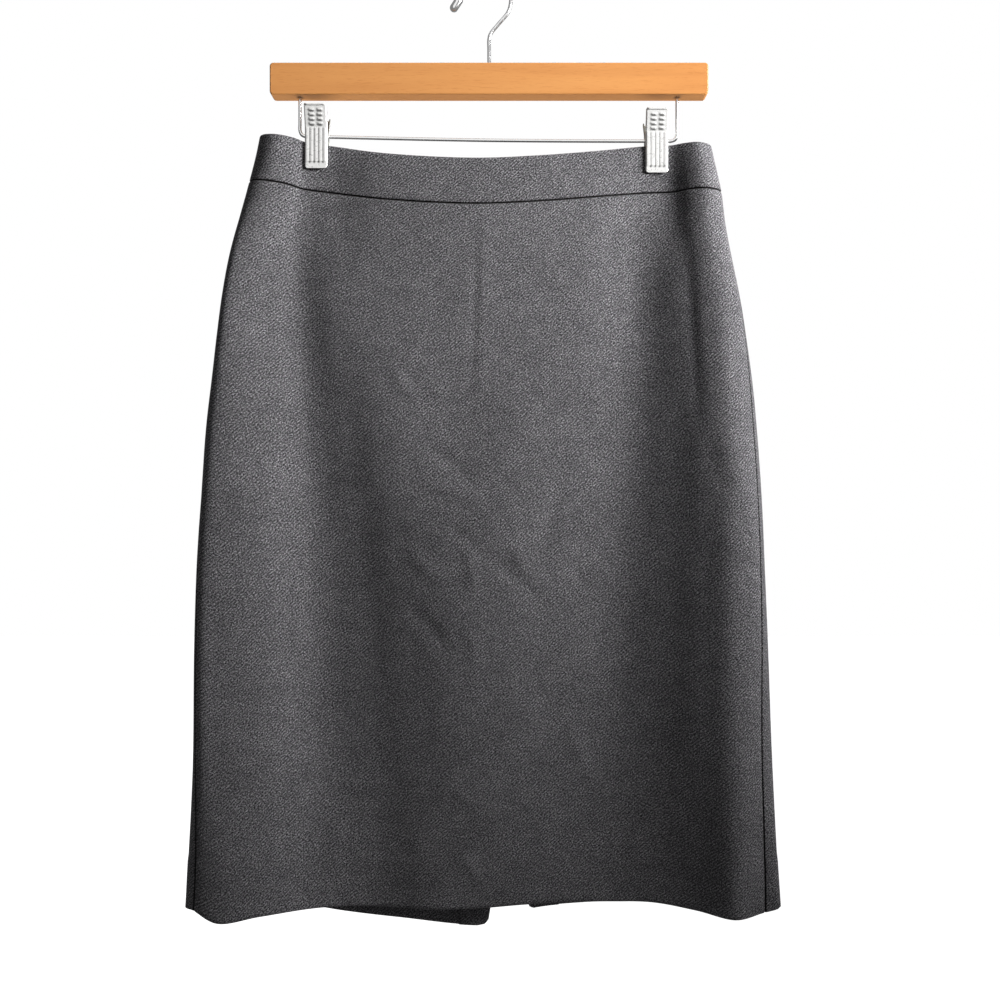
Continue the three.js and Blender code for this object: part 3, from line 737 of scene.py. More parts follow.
FRONT_CREASES = (
    Crease(((-11, -200), (-11, -280), (-15, -380)), 3.5, -0.5),
    Crease(((-5, -205), (-5, -280), (-9, -370)), 4.5, 0.45),
    Crease(((-77, -330), (-68, -345), (-55, -364)), 5.0, 0.9),
    Crease(((-54, -392), (-34, -404), (-12, -424)), 5.0, -1.0),
    Crease(((-58, -422), (-30, -428), (0, -444)), 5.0, 0.9),
    Crease(((-34, -456), (-20, -466), (-10, -480)), 4.5, -1.0),
    Crease(((-20, -462), (-14, -488), (-12, -514)), 4.5, 0.9),
    Crease(((-64, -476), (-50, -492), (-36, -502)), 5.0, 0.7),
    Crease(((-6, -478), (12, -490), (32, -508), (54, -536)), 6.0, -0.9),
    Crease(((16, -470), (24, -482), (32, -496)), 5.5, 1.2),
    Crease(((-62, -524), (-46, -538), (-30, -562)), 6.0, -1.0),
    Crease(((-20, -530), (-12, -552), (-10, -590)), 5.0, 0.7),
    Crease(((66, -492), (74, -500), (84, -514)), 3.0, -0.7),
    Crease(((60, -400), (50, -450), (42, -500)), 7.0, -0.7),
    Crease(((62, -610), (72, -640), (84, -670)), 6.0, 0.9),
    Crease(((-50, -690), (-30, -668), (-8, -684)), 5.0, 0.8),
    Crease(((-26, -722), (-14, -736), (-2, -754)), 5.0, 0.9),
    Crease(((158, -215), (162, -300), (166, -380)), 5.0, -1.2),
    Crease(((170, -390), (184, -425), (200, -462)), 7.5, -0.6),
    Crease(((182, -385), (196, -415), (206, -445)), 7.0, 0.4),
    Crease(((-204, -414), (-197, -420), (-190, -424)), 3.0, -1.2),
    Crease(((-120, -690), (-126, -720), (-130, -750)), 7.0, 0.8),
)
BACK_CREASES = (
    Crease(((-90, -215), (-60, -420), (-20, -610)), 14.0, -2.2),
    Crease(((80, -230), (96, -430), (120, -640)), 16.0, -2.4),
)


def quarter_curl(radius: float) -> list[tuple[float, float]]:
    """Return the distance and lift of a seam edge that curls under."""
    turns = [math.radians(a) for a in (90, 65, 40, 18, 0)]
    return [(0.0, -radius - 0.9)] + [
        (radius - radius * math.sin(a), -radius + radius * math.cos(a)) for a in turns
    ]


def turned_edge(radius: float, facing: float) -> list[tuple[float, float]]:
    """Return the distance and lift of an edge folded in over a facing, from the facing's end."""
    back = [(radius + (facing - radius) * k, -2 * radius) for k in (1.0, 0.66, 0.33, 0.08)]
    turns = [math.radians(a) for a in range(180, -1, -30)]
    return back + [(radius - radius * math.sin(a), -radius + radius * math.cos(a)) for a in turns]


class EdgeFinish(Enum):
    """How the end of a cloth piece is finished."""

    SEAM = "seam"
    TURNED = "turned"

    def profile(self) -> list[tuple[float, float]]:
        """Return the edge's distances in along the cloth and its lifts."""
        if self is EdgeFinish.SEAM:
            return quarter_curl(SEAM_CURL)
        return turned_edge(EDGE_RADIUS, FACING_WIDTH)


@dataclass
class ClothPiece:
    """One cut piece of the skirt, laid on the form with its edges turned.

    Attributes:
        name: The piece's name.
        node: The solid that it stands for.
        rows: Drop and lift of each row, from the top.
        edges: The finish of the first and the last edge, in the ring's direction.
        places: Where the two edges are on a ring.
        flat: Width and length of the cut, in metres; not used.
        area: Its flat area, in square metres; not used.
        pitch: Distance between columns, in millimetres.
        creases: Soft folds that lie on it.
        wall: Thickness of the cloth, in metres.
        pinch: True where the inner layer's ends turn towards the outer layer's, as on a band.
        round_corner: Radius of the hem's corner at the first and the last edge.
    """

    name: str
    node: str
    rows: list[tuple[float, float]]
    edges: tuple[EdgeFinish, EdgeFinish]
    places: Callable[[Ring], tuple[float, float]]
    flat: tuple[float, float]
    area: float
    pitch: float = 3.0
    creases: tuple[Crease, ...] = ()
    wall: float = 0.0010
    pinch: bool = False
    round_corner: tuple[float, float] = (0.0, 0.0)

    def reaches(self, length: float, count: int) -> tuple[np.ndarray, np.ndarray]:
        """Share a row into columns.

        Args:
            length: The row's length along the cloth.
            count: Columns between the two edge finishes.

        Returns:
            The distance of each column along the cloth, and its own lift.
        """
        first, last = self.edges[0].profile(), self.edges[1].profile()[::-1]
        start, end = first[-1][0], length - last[0][0]
        middle = np.linspace(start, end, count + 2)[1:-1]
        distance = np.concatenate(([d for d, _ in first], middle, [length - d for d, _ in last]))
        lift = np.concatenate(([h for _, h in first], np.zeros(count), [h for _, h in last]))
        return distance, lift

    def corner(self, distance: np.ndarray, length: float, drop: float) -> np.ndarray:
        """Return how far the hem rises where a vent corner is rounded off."""
        rise = np.zeros(len(distance))
        for radius, away in zip(self.round_corner, (distance, length - distance)):
            if radius > 0:
                inside = np.clip(radius - away, 0.0, radius)
                rise += radius - np.sqrt(radius**2 - inside**2)
        return rise * float(fade(drop, SKIRT_LENGTH - 24.0, SKIRT_LENGTH))

    def shape(self) -> bmesh.types.BMesh:
        """Return the piece's surface with its flat coordinates."""
        widest = 0.0
        walks = []
        for drop, _ in self.rows:
            ring = Ring(drop)
            start, end = self.places(ring)
            samples = np.linspace(start, end, 700)
            steps = np.linalg.norm(np.diff(ring.at(samples), axis=0), axis=1)
            walk = np.concatenate(([0.0], np.cumsum(steps)))
            widest = max(widest, walk[-1])
            walks.append((ring, samples, walk))
        count = int(widest / self.pitch)
        points, flat, recess = [], [], []
        down, before = 0.0, self.rows[0]
        for (drop, lift), (ring, samples, walk) in zip(self.rows, walks):
            down += math.hypot(drop - before[0], lift - before[1])
            before = (drop, lift)
            distance, own_lift = self.reaches(walk[-1], count)
            places = np.interp(distance, walk, samples)
            # Painted shade: how deep each column lies in the turn under the waist seam or in a sewn seam,
            # up to 1 mm, kept as a UV map that darkens the cloth.
            by_seam = max(-lift, 0.0) if abs(drop - BAND_HEIGHT) < 1.8 else 0.0
            sunk = np.maximum(by_seam, self.seam_depth(distance, walk[-1], own_lift))
            recess.append(np.stack((np.clip(sunk, 0.0, 1.0), np.zeros(len(sunk))), axis=1))
            if self.pinch:
                own_lift = own_lift * (1.0 + lift / (BAND_WALL / 2))
            base = ring.at(places)
            relief = np.zeros(len(base))
            for crease in self.creases:
                relief = relief + crease.height(base[:, 0], base[:, 2])
            near_hem = float(fade(drop, SKIRT_LENGTH - 26.0, SKIRT_LENGTH))
            base[:, 2] += FACING_RISE * (fade(-own_lift, 1.5, 2.5) * near_hem)
            if self.hemmed and lift > -0.1:
                turned_up = SKIRT_LENGTH - HEM_ALLOWANCE
                relief = relief + HEM_LIFT * fade(drop, turned_up - 2.5, turned_up)
            out = ring.outward(places) * (own_lift + lift + relief)[:, None]
            base[:, 2] += self.corner(distance, walk[-1], drop)
            points.append(base + out)
            across = distance - walk[-1] / 2
            flat.append(np.stack((across, np.full(len(across), -down)), axis=1) * MM)
        return shaped_grid(np.array(points), weave=np.array(flat), recess=np.array(recess))

    @property
    def hemmed(self) -> bool:
        """Tell whether the piece reaches the hem, whose turned cloth lifts its face a little."""
        return self.rows[len(self.rows) // 2][0] > BAND_HEIGHT

    def seam_depth(self, distance: np.ndarray, length: float, own_lift: np.ndarray) -> np.ndarray:
        """Return how deep each column lies in a sewn seam, in millimetres."""
        near_first, near_last = (edge is EdgeFinish.SEAM for edge in self.edges)
        in_seam = (near_first & (distance < length / 2)) | (near_last & (distance > length / 2))
        return np.where(in_seam, np.maximum(-own_lift, 0.0), 0.0)

    def make(self, material: bpy.types.Material, slot: str = "wool_twill") -> bpy.types.Object:
        """Args:
            material: The cloth's finish.
            slot: Not used.

        Returns:
            The finished piece.
        """
        piece = object_of(self.name, self.shape(), material)
        give_wall(piece, self.wall)
        declare(piece, self.node)
        return piece


def band_rows() -> list[tuple[float, float]]:
    """Return the waistband's rows: up its inside, over the fold and down to the seam."""
    half = BAND_WALL / 2
    low = BAND_HEIGHT - SEAM_GAP / 2
    inside = [(low, -BAND_WALL + 0.5)] + [(d, -BAND_WALL) for d in (low - 1.5, 27, 18, 9, 4)]
    turns = np.radians(range(0, 181, 22))
    fold = [(half - half * math.sin(a), -half - half * math.cos(a)) for a in turns]
    outside = [(float(d), 0.0) for d in np.linspace(3.2, low - SEAM_CURL, 14)]
    curl = [(low - d, lift) for d, lift in quarter_curl(SEAM_CURL)[::-1][1:]]
    return inside + fold + outside + curl


def panel_rows(pitch: float) -> list[tuple[float, float]]:
    """Return a panel's rows: from the waist seam to the hem's fold and up the turned hem."""
    top = BAND_HEIGHT + SEAM_GAP / 2
    radius = EDGE_RADIUS
    curl = [(top + d, lift) for d, lift in quarter_curl(SEAM_CURL)]
    start, end = curl[-1][0], SKIRT_LENGTH - radius
    count = int((end - start) / pitch)
    face = [(float(d), 0.0) for d in np.linspace(start, end, count)[1:]]
    turns = np.radians(range(30, 181, 30))
    fold = [(end + radius * math.sin(a), -radius + radius * math.cos(a)) for a in turns]
    deep = HEM_ALLOWANCE - radius
    turned = [(end - deep * k, -2 * radius) for k in (0.1, 0.3, 0.5, 0.7, 0.9, 1.0)]
    return curl + face + fold + turned


@dataclass
class Skirt:
    """The sewn skirt: three panels under three lengths of waistband."""

    finish: WoolTwill = field(default_factory=WoolTwill)
    pitch: float = 3.0
    back_pitch: float = 3.6

    def pieces(self) -> list[ClothPiece]:
        """Return the cut pieces, each with its edges, its size and its soft folds."""
        gap = SEAM_GAP / 2

        def front(ring: Ring) -> tuple[float, float]:
            return (
                ring.shifted(ring.side_seam(Side.LEFT), gap),
                ring.shifted(ring.side_seam(Side.RIGHT), -gap),
            )

        def back_left(ring: Ring) -> tuple[float, float]:
            return ring.back_edge(Side.LEFT), ring.shifted(ring.side_seam(Side.LEFT), -gap)

        def back_right(ring: Ring) -> tuple[float, float]:
            return ring.shifted(ring.side_seam(Side.RIGHT), gap), ring.back_edge(Side.RIGHT)

        seam, turned = EdgeFinish.SEAM, EdgeFinish.TURNED
        near, far = self.pitch, self.back_pitch
        panels = (
            ("front", (seam, seam), front, 0.52, 0.281, near, FRONT_CREASES, (0.0, 0.0)),
            ("back_left", (turned, seam), back_left, 0.32, 0.183, far, BACK_CREASES, (6.5, 0.0)),
            ("back_right", (seam, turned), back_right, 0.31, 0.171, far, BACK_CREASES, (0.0, 3.5)),
        )
        bands = (
            ("front", front, 0.40, 0.0305, near),
            ("back_left", back_left, 0.20, 0.0154, far),
            ("back_right", back_right, 0.20, 0.0154, far),
        )
        return [
            ClothPiece(
                f"{name}_panel_cloth", f"{name}_panel", panel_rows(pitch), edges, places,
                (width, 0.63), area, pitch, creases, round_corner=corner,
            )
            for name, edges, places, width, area, pitch, creases, corner in panels
        ] + [
            ClothPiece(
                f"{name}_waistband_cloth", f"{name}_waistband", band_rows(), (seam, seam), places,
                (width, 0.080), area, pitch, pinch=True,
            )
            for name, places, width, area, pitch in bands
        ]

    def dress(self) -> None:
        """Build the pieces, each fixed to the skirt's body."""
        cloth = self.finish.material()
        for cut in self.pieces():
            piece = cut.make(cloth)


@dataclass
class Zip:
    """The concealed zip in the centre back: tapes, coil, slider and pull.

    Attributes:
        width: Width of each tape.
        wall: Its thickness, in metres.
        inset: How far behind the band the tapes lie.
        top_drop: Drop of the tapes' top ends.
        coil_pitch: Distance between the coil's turns.
        coil_radius: Radius of the coil at a turn.
        coil_shift: How far each coil stands out past its panel's edge.
    """

    width: float = 12.0
    wall: float = 0.0006
    inset: float = 0.5
    top_drop: float = 2.0
    coil_pitch: float = 1.5
    coil_radius: float = 0.65
    coil_shift: float = 0.3

    def tape(self, side: Side, material: bpy.types.Material) -> bpy.types.Object:
        """Lay one tape behind its panel's edge.

        Args:
            side: The tape's side.
            material: The woven tape.

        Returns:
            The tape.
        """

        def places(ring: Ring) -> tuple[float, float]:
            edge = ring.back_edge(side)
            if side is Side.LEFT:
                return edge, ring.travelled(edge, self.width)
            return ring.travelled(edge, -self.width), edge

        lift = -BAND_WALL - self.inset
        drops = np.linspace(self.top_drop, ZIP_END_DROP, 60)
        points, flat = [], []
        for drop in drops:
            ring = Ring(float(drop))
            start, end = places(ring)
            spots = np.linspace(start, end, 9)
            points.append(ring.at(spots) + ring.outward(spots) * lift)
            flat.append([(self.width * k / 8 * MM, -drop * MM) for k in range(9)])
        woven = shaped_grid(np.array(points), weave=np.array(flat))
        piece = object_of(f"zip_tape_{side.value}_woven", woven, material)
        give_wall(piece, self.wall)
        declare(piece, f"zip_tape_{side.value}")
        return piece

    def coil(self, material: bpy.types.Material) -> bpy.types.Object:
        """Run the closed coil down behind the seam gap, as one ribbed wire a side."""
        lift = -BAND_WALL - self.inset + self.coil_radius + 0.1
        parts = []
        for side in Side:
            shift = self.coil_shift if side is Side.LEFT else -self.coil_shift
            drops = np.arange(self.top_drop + 6.0, ZIP_END_DROP - 3.0, self.coil_pitch / 4)
            path = []
            for drop in drops:
                ring = Ring(float(drop))
                place = np.array([ring.shifted(ring.back_edge(side), shift)])
                path.append((ring.at(place) + ring.outward(place) * lift)[0])
            wave = 0.5 + 0.5 * np.cos(2 * math.pi * drops / self.coil_pitch)
            swell = self.coil_radius * (0.62 + 0.38 * wave)
            parts.append(tube(np.array(path), swell, 8, (0.0, 1.0, 0.0)))
        piece = object_of("zip_coil", joined(*parts), material)
        declare(piece)
        return piece

    def dress(self) -> None:
        """Build the tapes and coil, and finish the slider and the pull."""
        woven = ZipTapeWeave().material()
        enamel = DarkEnamel().material()
        for side in Side:
            self.tape(side, woven)
        self.coil(enamel)
        for node in ("zip_slider", "zip_pull"):
            refinish(node, enamel)


@dataclass
class Bar:
    """The straight wooden bar."""

    finish: Beech = field(default_factory=Beech)

    def dress(self) -> None:
        """Give the bar its varnished wood."""
        refinish("hanger_bar", self.finish.material())


@dataclass
class Hook:
    """The wire hook: a stem that leans right, an open loop and a long cap on its tip.

    Attributes:
        wire: The wire's radius.
        loop_x: x of the loop's centre, and loop_radius its radius to the wire's middle.
        stem_foot: z of the stem's end inside the bar.
        cap: Radius of the cap, and the length of its straight part.
        cap_at: x and z of the cap's middle.
        lean: How far the cap leans right from upright, in radians.
    """

    wire: float = 1.5
    loop_x: float = -3.4
    loop_radius: float = 22.5
    stem_foot: float = -96.7
    cap: tuple[float, float] = (3.4, 7.2)
    cap_at: tuple[float, float] = (-26.7, -32.1)
    lean: float = 0.585

    def keys(self) -> list[tuple[float, float]]:
        """Return the key points of the hook's line, from the foot to the tip."""
        centre = self.wire - self.loop_radius
        upright = [(0, self.stem_foot), (0, -70), (0, -61)]
        stem = upright + [(1.2, -56.5), (7.5, -48.6), (15, -39.6), (16.9, -35)]
        loop = [
            (self.loop_x + self.loop_radius * math.cos(a), centre + self.loop_radius * math.sin(a))
            for a in np.radians(range(-18, 199, 18))
        ]
        return stem + loop + [(-26.2, -31.5), (-28.4, -34.4)]

    def dress(self, metal: bpy.types.Material) -> None:
        """Draw the hook and its cap in polished wire."""
        radius, straight = self.cap
        cap = bmesh.new()
        bmesh.ops.create_uvsphere(cap, u_segments=40, v_segments=20, radius=radius * MM)
        upper = [vert for vert in cap.verts if vert.co.z > 1e-6]
        lower = [vert for vert in cap.verts if vert.co.z < -1e-6]
        for ends, shift in ((upper, straight / 2 * MM), (lower, -straight / 2 * MM)):
            bmesh.ops.translate(cap, verts=ends, vec=(0.0, 0.0, shift))
        bmesh.ops.rotate(cap, verts=cap.verts, matrix=Matrix.Rotation(self.lean, 3, "Y"))
        x, z = self.cap_at
        bmesh.ops.translate(cap, verts=cap.verts, vec=(x * MM, 0.0, z * MM))
        shape = joined(tube(smooth_path(self.keys(), 8), self.wire, 20, (0.0, 1.0, 0.0)), cap)
        declare(object_of("hook_wire", shape, metal), "hanger_hook")


@dataclass
class ClipRail:
    """The wire rail that carries the clips, bent up into the bar at both ends.

    Attributes:
        wire: The wire's radius.
        left: x and z of its left corner, as right is for the other.
        middle: z of its sag halfway.
        socket_top: z of its ends inside the bar.
        bend: Radius of its corners.
    """

    wire: float = 1.35
    left: tuple[float, float] = (-154.5, -140.3)
    right: tuple[float, float] = (153.5, -144.1)
    middle: float = -143.4
    socket_top: float = -98.6
    bend: float = 5.0

    def keys(self) -> list[tuple[float, float]]:
        """Return the key points of the rail's line, from left to right."""
        (lx, lz), (rx, rz), b = self.left, self.right, self.bend
        return [
            (lx, self.socket_top), (lx, lz + 2 * b), (lx, lz + b), (lx + 0.3 * b, lz + 0.3 * b),
            (lx + b, lz), (lx + 2 * b, lz - 0.1), (0, self.middle), (rx - 2 * b, rz), (rx - b, rz),
            (rx - 0.3 * b, rz + 0.3 * b), (rx, rz + b), (rx, rz + 2 * b), (rx, self.socket_top),
        ]

    def dress(self, metal: bpy.types.Material) -> None:
        """Draw the rail in polished wire."""
        shape = tube(smooth_path(self.keys(), 10), self.wire, 18, (0.0, 1.0, 0.0))
        declare(object_of("rail_wire", shape, metal), "clip_rail")


class Leaf(Enum):
    """The two pressed leaves of a clip: height and reach of the handle, and the ears' place."""

    FRONT = (22.6, 10.4, 7.9)
    BACK = (16.4, 12.6, 6.4)


@dataclass
class SpringClip:
    """A pressed steel clip on the rail: two leaves with a rasped handle and a fluted jaw.

    Attributes:
        side: Which end of the rail it grips at.
        pivot: x and z of its pivot on the rail.
        width: Width of each leaf.
        foot: z of the jaw's lower edge, from the pivot as all its heights are.
        jaw_top: z where the jaw ends and the handle leans out.
        outer: Distance of the jaw's face from the rail's middle.
        sheet: Thickness of the sheet.
        flute_pitch: Distance between the jaw's flutes.
        flute_rise: How far they stand out.
        flute_ends: z of their lower and upper ends.
        rasp_heights: z of the handle's rows of slots.
        dots: x of the round dents under the flutes.
        ear: Outer and inner radius of a pivot ear.
        coil: Radius of the spring's coil and of its wire.
    """

    side: Side
    pivot: tuple[float, float]
    width: float = 18.3
    foot: float = -27.4
    jaw_top: float = 5.6
    outer: float = 5.8
    sheet: float = 1.0
    flute_pitch: float = 3.54
    flute_rise: float = 0.38
    flute_ends: tuple[float, float] = (-22.4, 5.6)
    rasp_heights: tuple[float, ...] = (7.3, 10.75, 14.2, 17.65)
    dots: tuple[float, ...] = (-5.31, -1.77, 1.77, 5.31)
    ear: tuple[float, float] = (2.8, 1.7)
    coil: tuple[float, float] = (2.55, 0.5)

    def fluted(self, z: float, before: float, after: float) -> float:
        """Return 1 along the flutes and 0 past their ends, fading from before an end to after it."""
        low, high = self.flute_ends
        return float(fade(z, low - before, low + after) * (1.0 - fade(z, high - after, high + before)))

    def relief(self, x: np.ndarray, z: float) -> np.ndarray:
        """Return how far the pressing stands out of the sheet.

        Args:
            x: Places across the leaf, in millimetres.
            z: Height above the pivot.

        Returns:
            The rise at each place.
        """
        low = self.flute_ends[0]
        inside = self.fluted(z, 0.5, 0.9)
        wave = np.abs(np.sin(np.pi * (x / self.flute_pitch + 0.5))) ** 0.45
        rise = self.flute_rise * inside * wave
        for height in self.rasp_heights:
            for centre in (-3.4, 3.4):
                across = np.exp(-(((x - centre) / 2.1) ** 4))
                rise = rise + 0.55 * (across * math.exp(-(((z - height - 1.2) / 0.95) ** 2)))
        for dot in self.dots:
            rise = rise - 0.3 * np.exp(-((x - dot) ** 2 + (z - low) ** 2) / 0.4)
        return rise

    def shadow(self, x: np.ndarray, z: float) -> np.ndarray:
        """Return how much each place of the pressing lies in shadow, from 0 to 1.

        Args:
            x: Places across the leaf, in millimetres.
            z: Height above the pivot.

        Returns:
            The share of shadow in the flutes' grooves, their end dots and the rasp's slots.
        """
        low = self.flute_ends[0]
        inside = self.fluted(z, 0.2, 1.2)
        groove = np.abs(np.sin(np.pi * (x / self.flute_pitch + 0.5)))
        between = np.abs(x) < 2.5 * self.flute_pitch - 0.9
        dark = 0.30 * inside * (1.0 - fade(groove, 0.2, 0.7)) * between
        for height in self.rasp_heights:
            for centre in (-3.2, 3.2):
                across = np.exp(-(((x - centre) / 2.3) ** 4))
                slot = across * math.exp(-(((z - height) / 0.75) ** 4))
                dark = np.maximum(dark, 0.78 * slot)
        for dot in self.dots:
            dark = np.maximum(dark, 0.85 * np.exp(-((x - dot) ** 2 + (z - low) ** 2) / 0.8))
        return dark

    def leaf(self, kind: Leaf) -> bmesh.types.BMesh:
        """Press one leaf.

        Args:
            kind: The front or the back leaf.

        Returns:
            The leaf about its own pivot, facing -Y, in metres.
        """
        top, reach, ear = kind.value
        lean = math.atan2(reach - self.outer, top - self.jaw_top)
        half = self.width / 2
        bend, round_foot, lip_radius = 0.9, 2.6, 0.9
        turns = np.radians((90, 60, 30, 0))
        flange_x = np.concatenate(([half], [half] * 2, half - bend + bend * np.sin(turns)))
        flange_back = np.concatenate(([3.1, 2.2, 1.4], bend - bend * np.cos(turns)))
        middle = np.linspace(-half + bend, half - bend, 60)[1:-1]
        x = np.concatenate((-flange_x, middle, flange_x[::-1]))
        back = np.concatenate((flange_back, np.zeros(len(middle)), flange_back[::-1]))
        jaw = self.jaw_top - self.foot
        steps = np.linspace(0.0, jaw + math.hypot(reach - self.outer, top - self.jaw_top), 150)
        y, z, points, shadows = -self.outer, self.foot, [], []
        for before, here in zip(np.concatenate(([0.0], steps)), steps):
            tilt = lean * float(fade(here, jaw - 2.5, jaw + 2.5))
            y -= math.sin(tilt) * (here - before)
            z += math.cos(tilt) * (here - before)
            rise = self.relief(x, z) * (back < 1e-6)
            deeper = back * (1.0 + 0.75 * math.exp(-((z / 3.2) ** 2)))
            sunk = np.where(back > bend, deeper, back) - rise
            corner = np.clip(np.abs(x) - (half - round_foot), 0.0, round_foot)
            cut_off = round_foot - np.sqrt(round_foot**2 - corner**2 + 1e-9)
            lifted = cut_off * (1.0 - float(fade(here, 0.0, 6.0)))
            out, up = sunk * math.cos(tilt), sunk * math.sin(tilt)
            points.append(np.stack((x, y + out, z + lifted + up), axis=1))
            dark = self.shadow(x, z) * (back < 1e-6)
            shadows.append(np.stack((dark, np.zeros(len(dark))), axis=1))
        pressed = shaped_grid(np.array(points[::-1]), recess=np.array(shadows[::-1]))
        pressed.normal_update()
        whole = pressed.faces[:] + pressed.edges[:] + pressed.verts[:]
        bmesh.ops.solidify(pressed, geom=whole, thickness=self.sheet * MM)
        bmesh.ops.recalc_face_normals(pressed, faces=pressed.faces)
        # Painted shade: faces towards the rail take the darker copy of the plating.
        for face in pressed.faces:
            face.material_index = 1 if face.normal.y > 0.3 else 0
        lip_path = np.array([(s, y + 0.3, z) for s in np.linspace(-half + 0.4, half - 0.4, 9)])
        lip = tube(lip_path, lip_radius, 16, (0.0, 0.0, 1.0))
        ears = [self.ear_plate(ear * sign) for sign in (-1.0, 1.0)]
        return joined(pressed, lip, *ears)

    def ear_plate(self, x: float) -> bmesh.types.BMesh:
        """Cut a pivot ear: a ring of sheet round the rail, at this x."""
        ear = bmesh.new()
        for radius in self.ear:
            bmesh.ops.create_circle(ear, cap_ends=False, segments=28, radius=radius * MM)
        bmesh.ops.bridge_loops(ear, edges=ear.edges[:])
        grown = bmesh.ops.extrude_face_region(ear, geom=ear.faces[:])
        moved = [part for part in grown["geom"] if isinstance(part, bmesh.types.BMVert)]
        bmesh.ops.translate(ear, verts=moved, vec=(0.0, 0.0, self.sheet * MM))
        bmesh.ops.recalc_face_normals(ear, faces=ear.faces)
        bmesh.ops.rotate(ear, verts=ear.verts, matrix=Matrix.Rotation(math.pi / 2, 3, "Y"))
        bmesh.ops.translate(ear, verts=ear.verts, vec=((x - self.sheet / 2) * MM, 0.0, 0.0))
        return ear

    def spring(self) -> bmesh.types.BMesh:
        """Wind the coil spring round the rail."""
        turn = np.linspace(0.0, 2 * math.pi * 6.5, 6 * 20 + 11)
        x = np.linspace(-4.0, 4.0, len(turn))
        radial = np.stack((np.zeros(len(turn)), np.cos(turn), np.sin(turn)), axis=1)
        radius, wire = self.coil
        path = np.stack((x, np.zeros(len(x)), np.zeros(len(x))), axis=1) + radius * radial
        return tube(path, wire, 8, radial)

    def settle(
        self, name: str, bm: bmesh.types.BMesh, node: str, metals: Sequence[Any], turned: bool
    ) -> None:
        """Args:
            name: The piece's name.
            bm: The part about its pivot.
            node: The solid that it stands for.
            metals: The plating, then its darker copy with painted shade for the side towards the rail.
            turned: True for the leaf that faces back.
        """
        if turned:
            bmesh.ops.rotate(bm, verts=bm.verts, matrix=Matrix.Rotation(math.pi, 3, "Z"))
        x, z = self.pivot
        bmesh.ops.translate(bm, verts=bm.verts, vec=(x * MM, 0.0, z * MM))
        declare(object_of(name, bm, *metals), node)

    def dress(self, plates: Sequence[bpy.types.Material], wire: bpy.types.Material) -> None:
        """Build both leaves and the spring."""
        stem = f"clip_{self.side.value}"
        for kind, back in ((Leaf.FRONT, False), (Leaf.BACK, True)):
            name = f"{stem}_{'back' if back else 'front'}"
            self.settle(f"{name}_pressing", self.leaf(kind), f"{name}_leaf", plates, back)
        self.settle(f"{stem}_spring_coil", self.spring(), f"{stem}_spring", [wire], False)


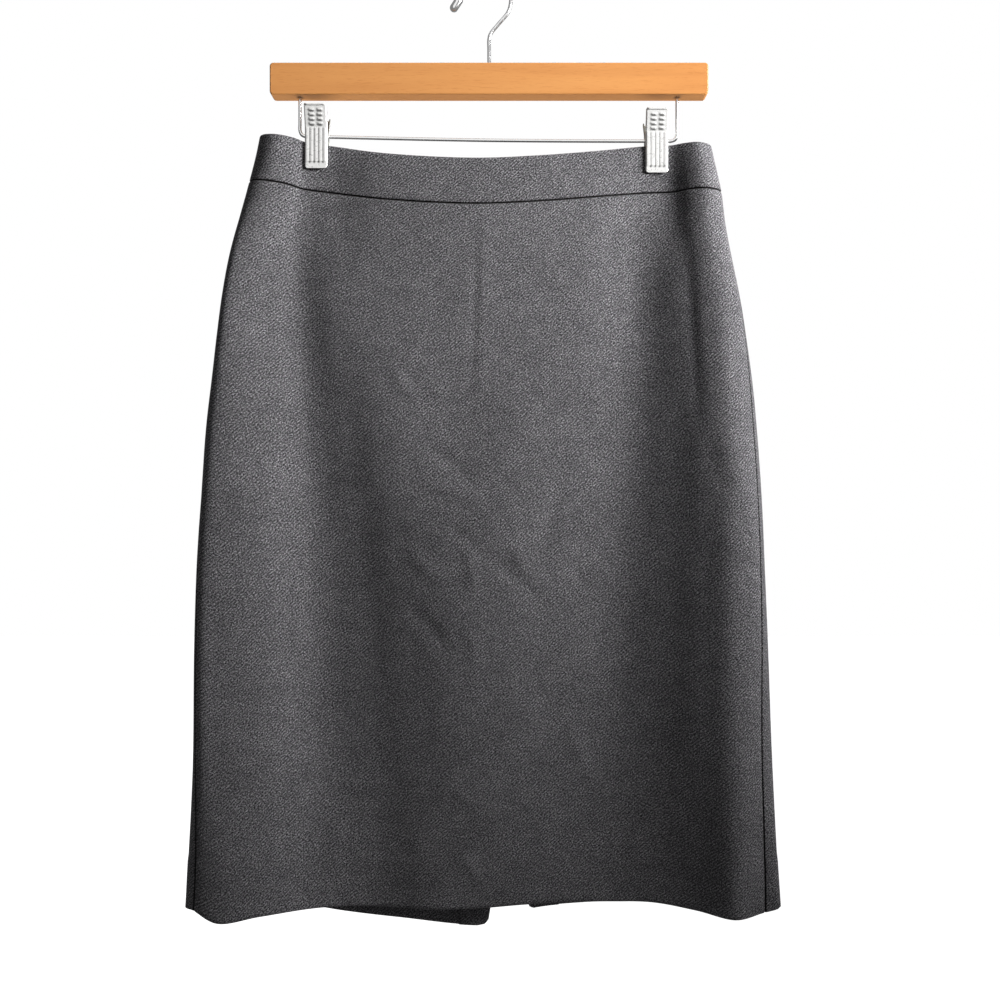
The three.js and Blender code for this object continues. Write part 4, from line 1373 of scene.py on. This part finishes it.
@dataclass
class Studio:
    """White paper underfoot, paper above and in front for the metal, soft lamps and the camera.

    Attributes:
        camera_at: Where the camera stands, level with the skirt and facing its front.
        floor: Height of the floor.
        key_at: Where the soft box hangs, and key_aim the point that it faces.
        key_spread: The angle that its grid lets through.
        key_size: Its width and height, and key_power its watts.
        bounce_at: Where the floor throws light up from, and bounce_aim the point that it faces.
        bounce_size: That light's width and depth, and bounce_power its watts.
        room: How bright the room is on the cloth, and room_mirrored in the metal.
    """

    camera_at: tuple[float, float, float] = (0.0089, -0.817, -0.4372)
    floor: float = -0.96
    key_at: tuple[float, float, float] = (1.367, -0.554, 0.148)
    key_aim: tuple[float, float, float] = (0.0, 0.0, 0.155)
    key_spread: float = math.radians(77.7)
    key_size: tuple[float, float] = (0.5, 0.5)
    key_power: float = 13.0
    bounce_at: tuple[float, float, float] = (0.0, 0.5, -0.7)
    bounce_aim: tuple[float, float, float] = (0.0, 0.0, -0.1)
    bounce_size: tuple[float, float] = (1.0, 0.4)
    bounce_power: float = 6.0
    room: float = 0.10
    room_mirrored: float = 0.28

    def paper(self, name: str, profile: list[tuple[float, float]], half_width: float) -> Any:
        """Hang a length of paper that lights nothing but shows in the metal or the picture.

        Args:
            name: The sheet's name.
            profile: y and z along it, in millimetres.
            half_width: Half its width, in millimetres.

        Returns:
            The sheet.
        """
        points = np.array([[(x, y, z) for x in (-half_width, 0.0, half_width)] for y, z in profile])
        sheet = object_of(name, shaped_grid(points), StudioPaper().material())
        sheet.visible_diffuse = False
        return sheet

    def papers(self) -> None:
        """Lay the floor, and hang a sheet above and in front that only the metal mirrors."""
        low = self.floor / MM
        floor = self.paper("paper_floor", [(-3000.0, low), (0.0, low), (3000.0, low)], 3000.0)
        floor.visible_glossy = False
        above = [(750.0, 1900.0), (-2500.0, 1900.0), (-2500.0, 700.0), (-2500.0, low)]
        self.paper("paper_canopy", above, 1000.0).visible_camera = False

    def lamp(
        self, name: str, at: Sequence[float], aim: Sequence[float], size: tuple[float, float]
    ) -> bpy.types.Object:
        """Hang a soft rectangular lamp.

        Args:
            name: The lamp's name.
            at: Where it hangs.
            aim: The point that it faces.
            size: Its width and height.

        Returns:
            The lamp's object.
        """
        data = bpy.data.lights.new(name, "AREA")
        data.shape = "RECTANGLE"
        data.size, data.size_y = size
        lamp = bpy.data.objects.new(name, data)
        bpy.context.scene.collection.objects.link(lamp)
        lamp.location = at
        lamp.rotation_euler = (Vector(aim) - Vector(at)).to_track_quat("-Z", "Y").to_euler()
        return lamp

    def lamps(self) -> None:
        """Hang the soft box at the right, and the light that the floor throws up from behind."""
        key = self.lamp("soft_box", self.key_at, self.key_aim, self.key_size)
        key.data.energy = self.key_power
        key.data.spread = self.key_spread
        key.visible_camera = False
        bounce = self.lamp("floor_bounce", self.bounce_at, self.bounce_aim, self.bounce_size)
        bounce.data.energy = self.bounce_power
        bounce.visible_camera = False
        bounce.visible_glossy = False

    def air(self) -> bpy.types.World:
        """Return the room's light: white in the picture, dim on the cloth and in the metal."""
        world = bpy.data.worlds.new("room")
        world.use_nodes = True
        tree = world.node_tree
        tree.nodes["Background"].inputs["Color"].default_value = (1.0, 1.0, 1.0, 1.0)
        ray = tree.nodes.new("ShaderNodeLightPath")
        level: Any = self.room
        for kind, seen in (("Is Glossy Ray", self.room_mirrored), ("Is Camera Ray", 1.0)):
            mix = tree.nodes.new("ShaderNodeMath")
            mix.operation = "MULTIPLY_ADD"
            mix.inputs[1].default_value = seen - self.room
            tree.links.new(ray.outputs[kind], mix.inputs[0])
            if isinstance(level, float):
                mix.inputs[2].default_value = level
            else:
                tree.links.new(level, mix.inputs[2])
            level = mix.outputs[0]
        tree.links.new(level, tree.nodes["Background"].inputs["Strength"])
        return world

    def dress(self) -> None:
        """Set the paper, the lamps, the room's light and the camera."""
        self.papers()
        self.lamps()
        scene = bpy.context.scene
        scene.world = self.air()
        scene.view_settings.view_transform = "Standard"
        data = bpy.data.cameras.new("camera")
        data.sensor_width = 36.0
        data.lens = 36.0
        data.clip_end = 20.0
        camera = bpy.data.objects.new("camera", data)
        scene.collection.objects.link(camera)
        camera.location = self.camera_at
        camera.rotation_euler = (math.radians(90), 0.0, 0.0)
        scene.camera = camera
        log.info("studio and camera")


def main() -> None:
    """Build the skirt, its zip, the hanger and the studio in order."""
    logging.basicConfig(level=logging.INFO, format="%(name)s: %(message)s")
    Skirt().dress()
    Zip().dress()
    Bar().dress()
    wire = BrightMetal("polished_wire").material()
    plates = [
        BrightMetal("nickel_plate", (0.85, 0.845, 0.83), 0.26, 0.10, 0.35, True).material(),
        # The second plating is a darker copy with painted shade, for the leaves' side towards the rail.
        BrightMetal("nickel_plate_painted_shade", (0.24, 0.25, 0.22), 0.34, 0.12, 0.6, True).material(),
    ]
    Hook().dress(wire)
    ClipRail().dress(wire)
    SpringClip(Side.LEFT, (-140.4, -140.5)).dress(plates, wire)
    SpringClip(Side.RIGHT, (136.3, -144.05)).dress(plates, wire)
    Studio().dress()


if __name__ == "__main__":
    main()
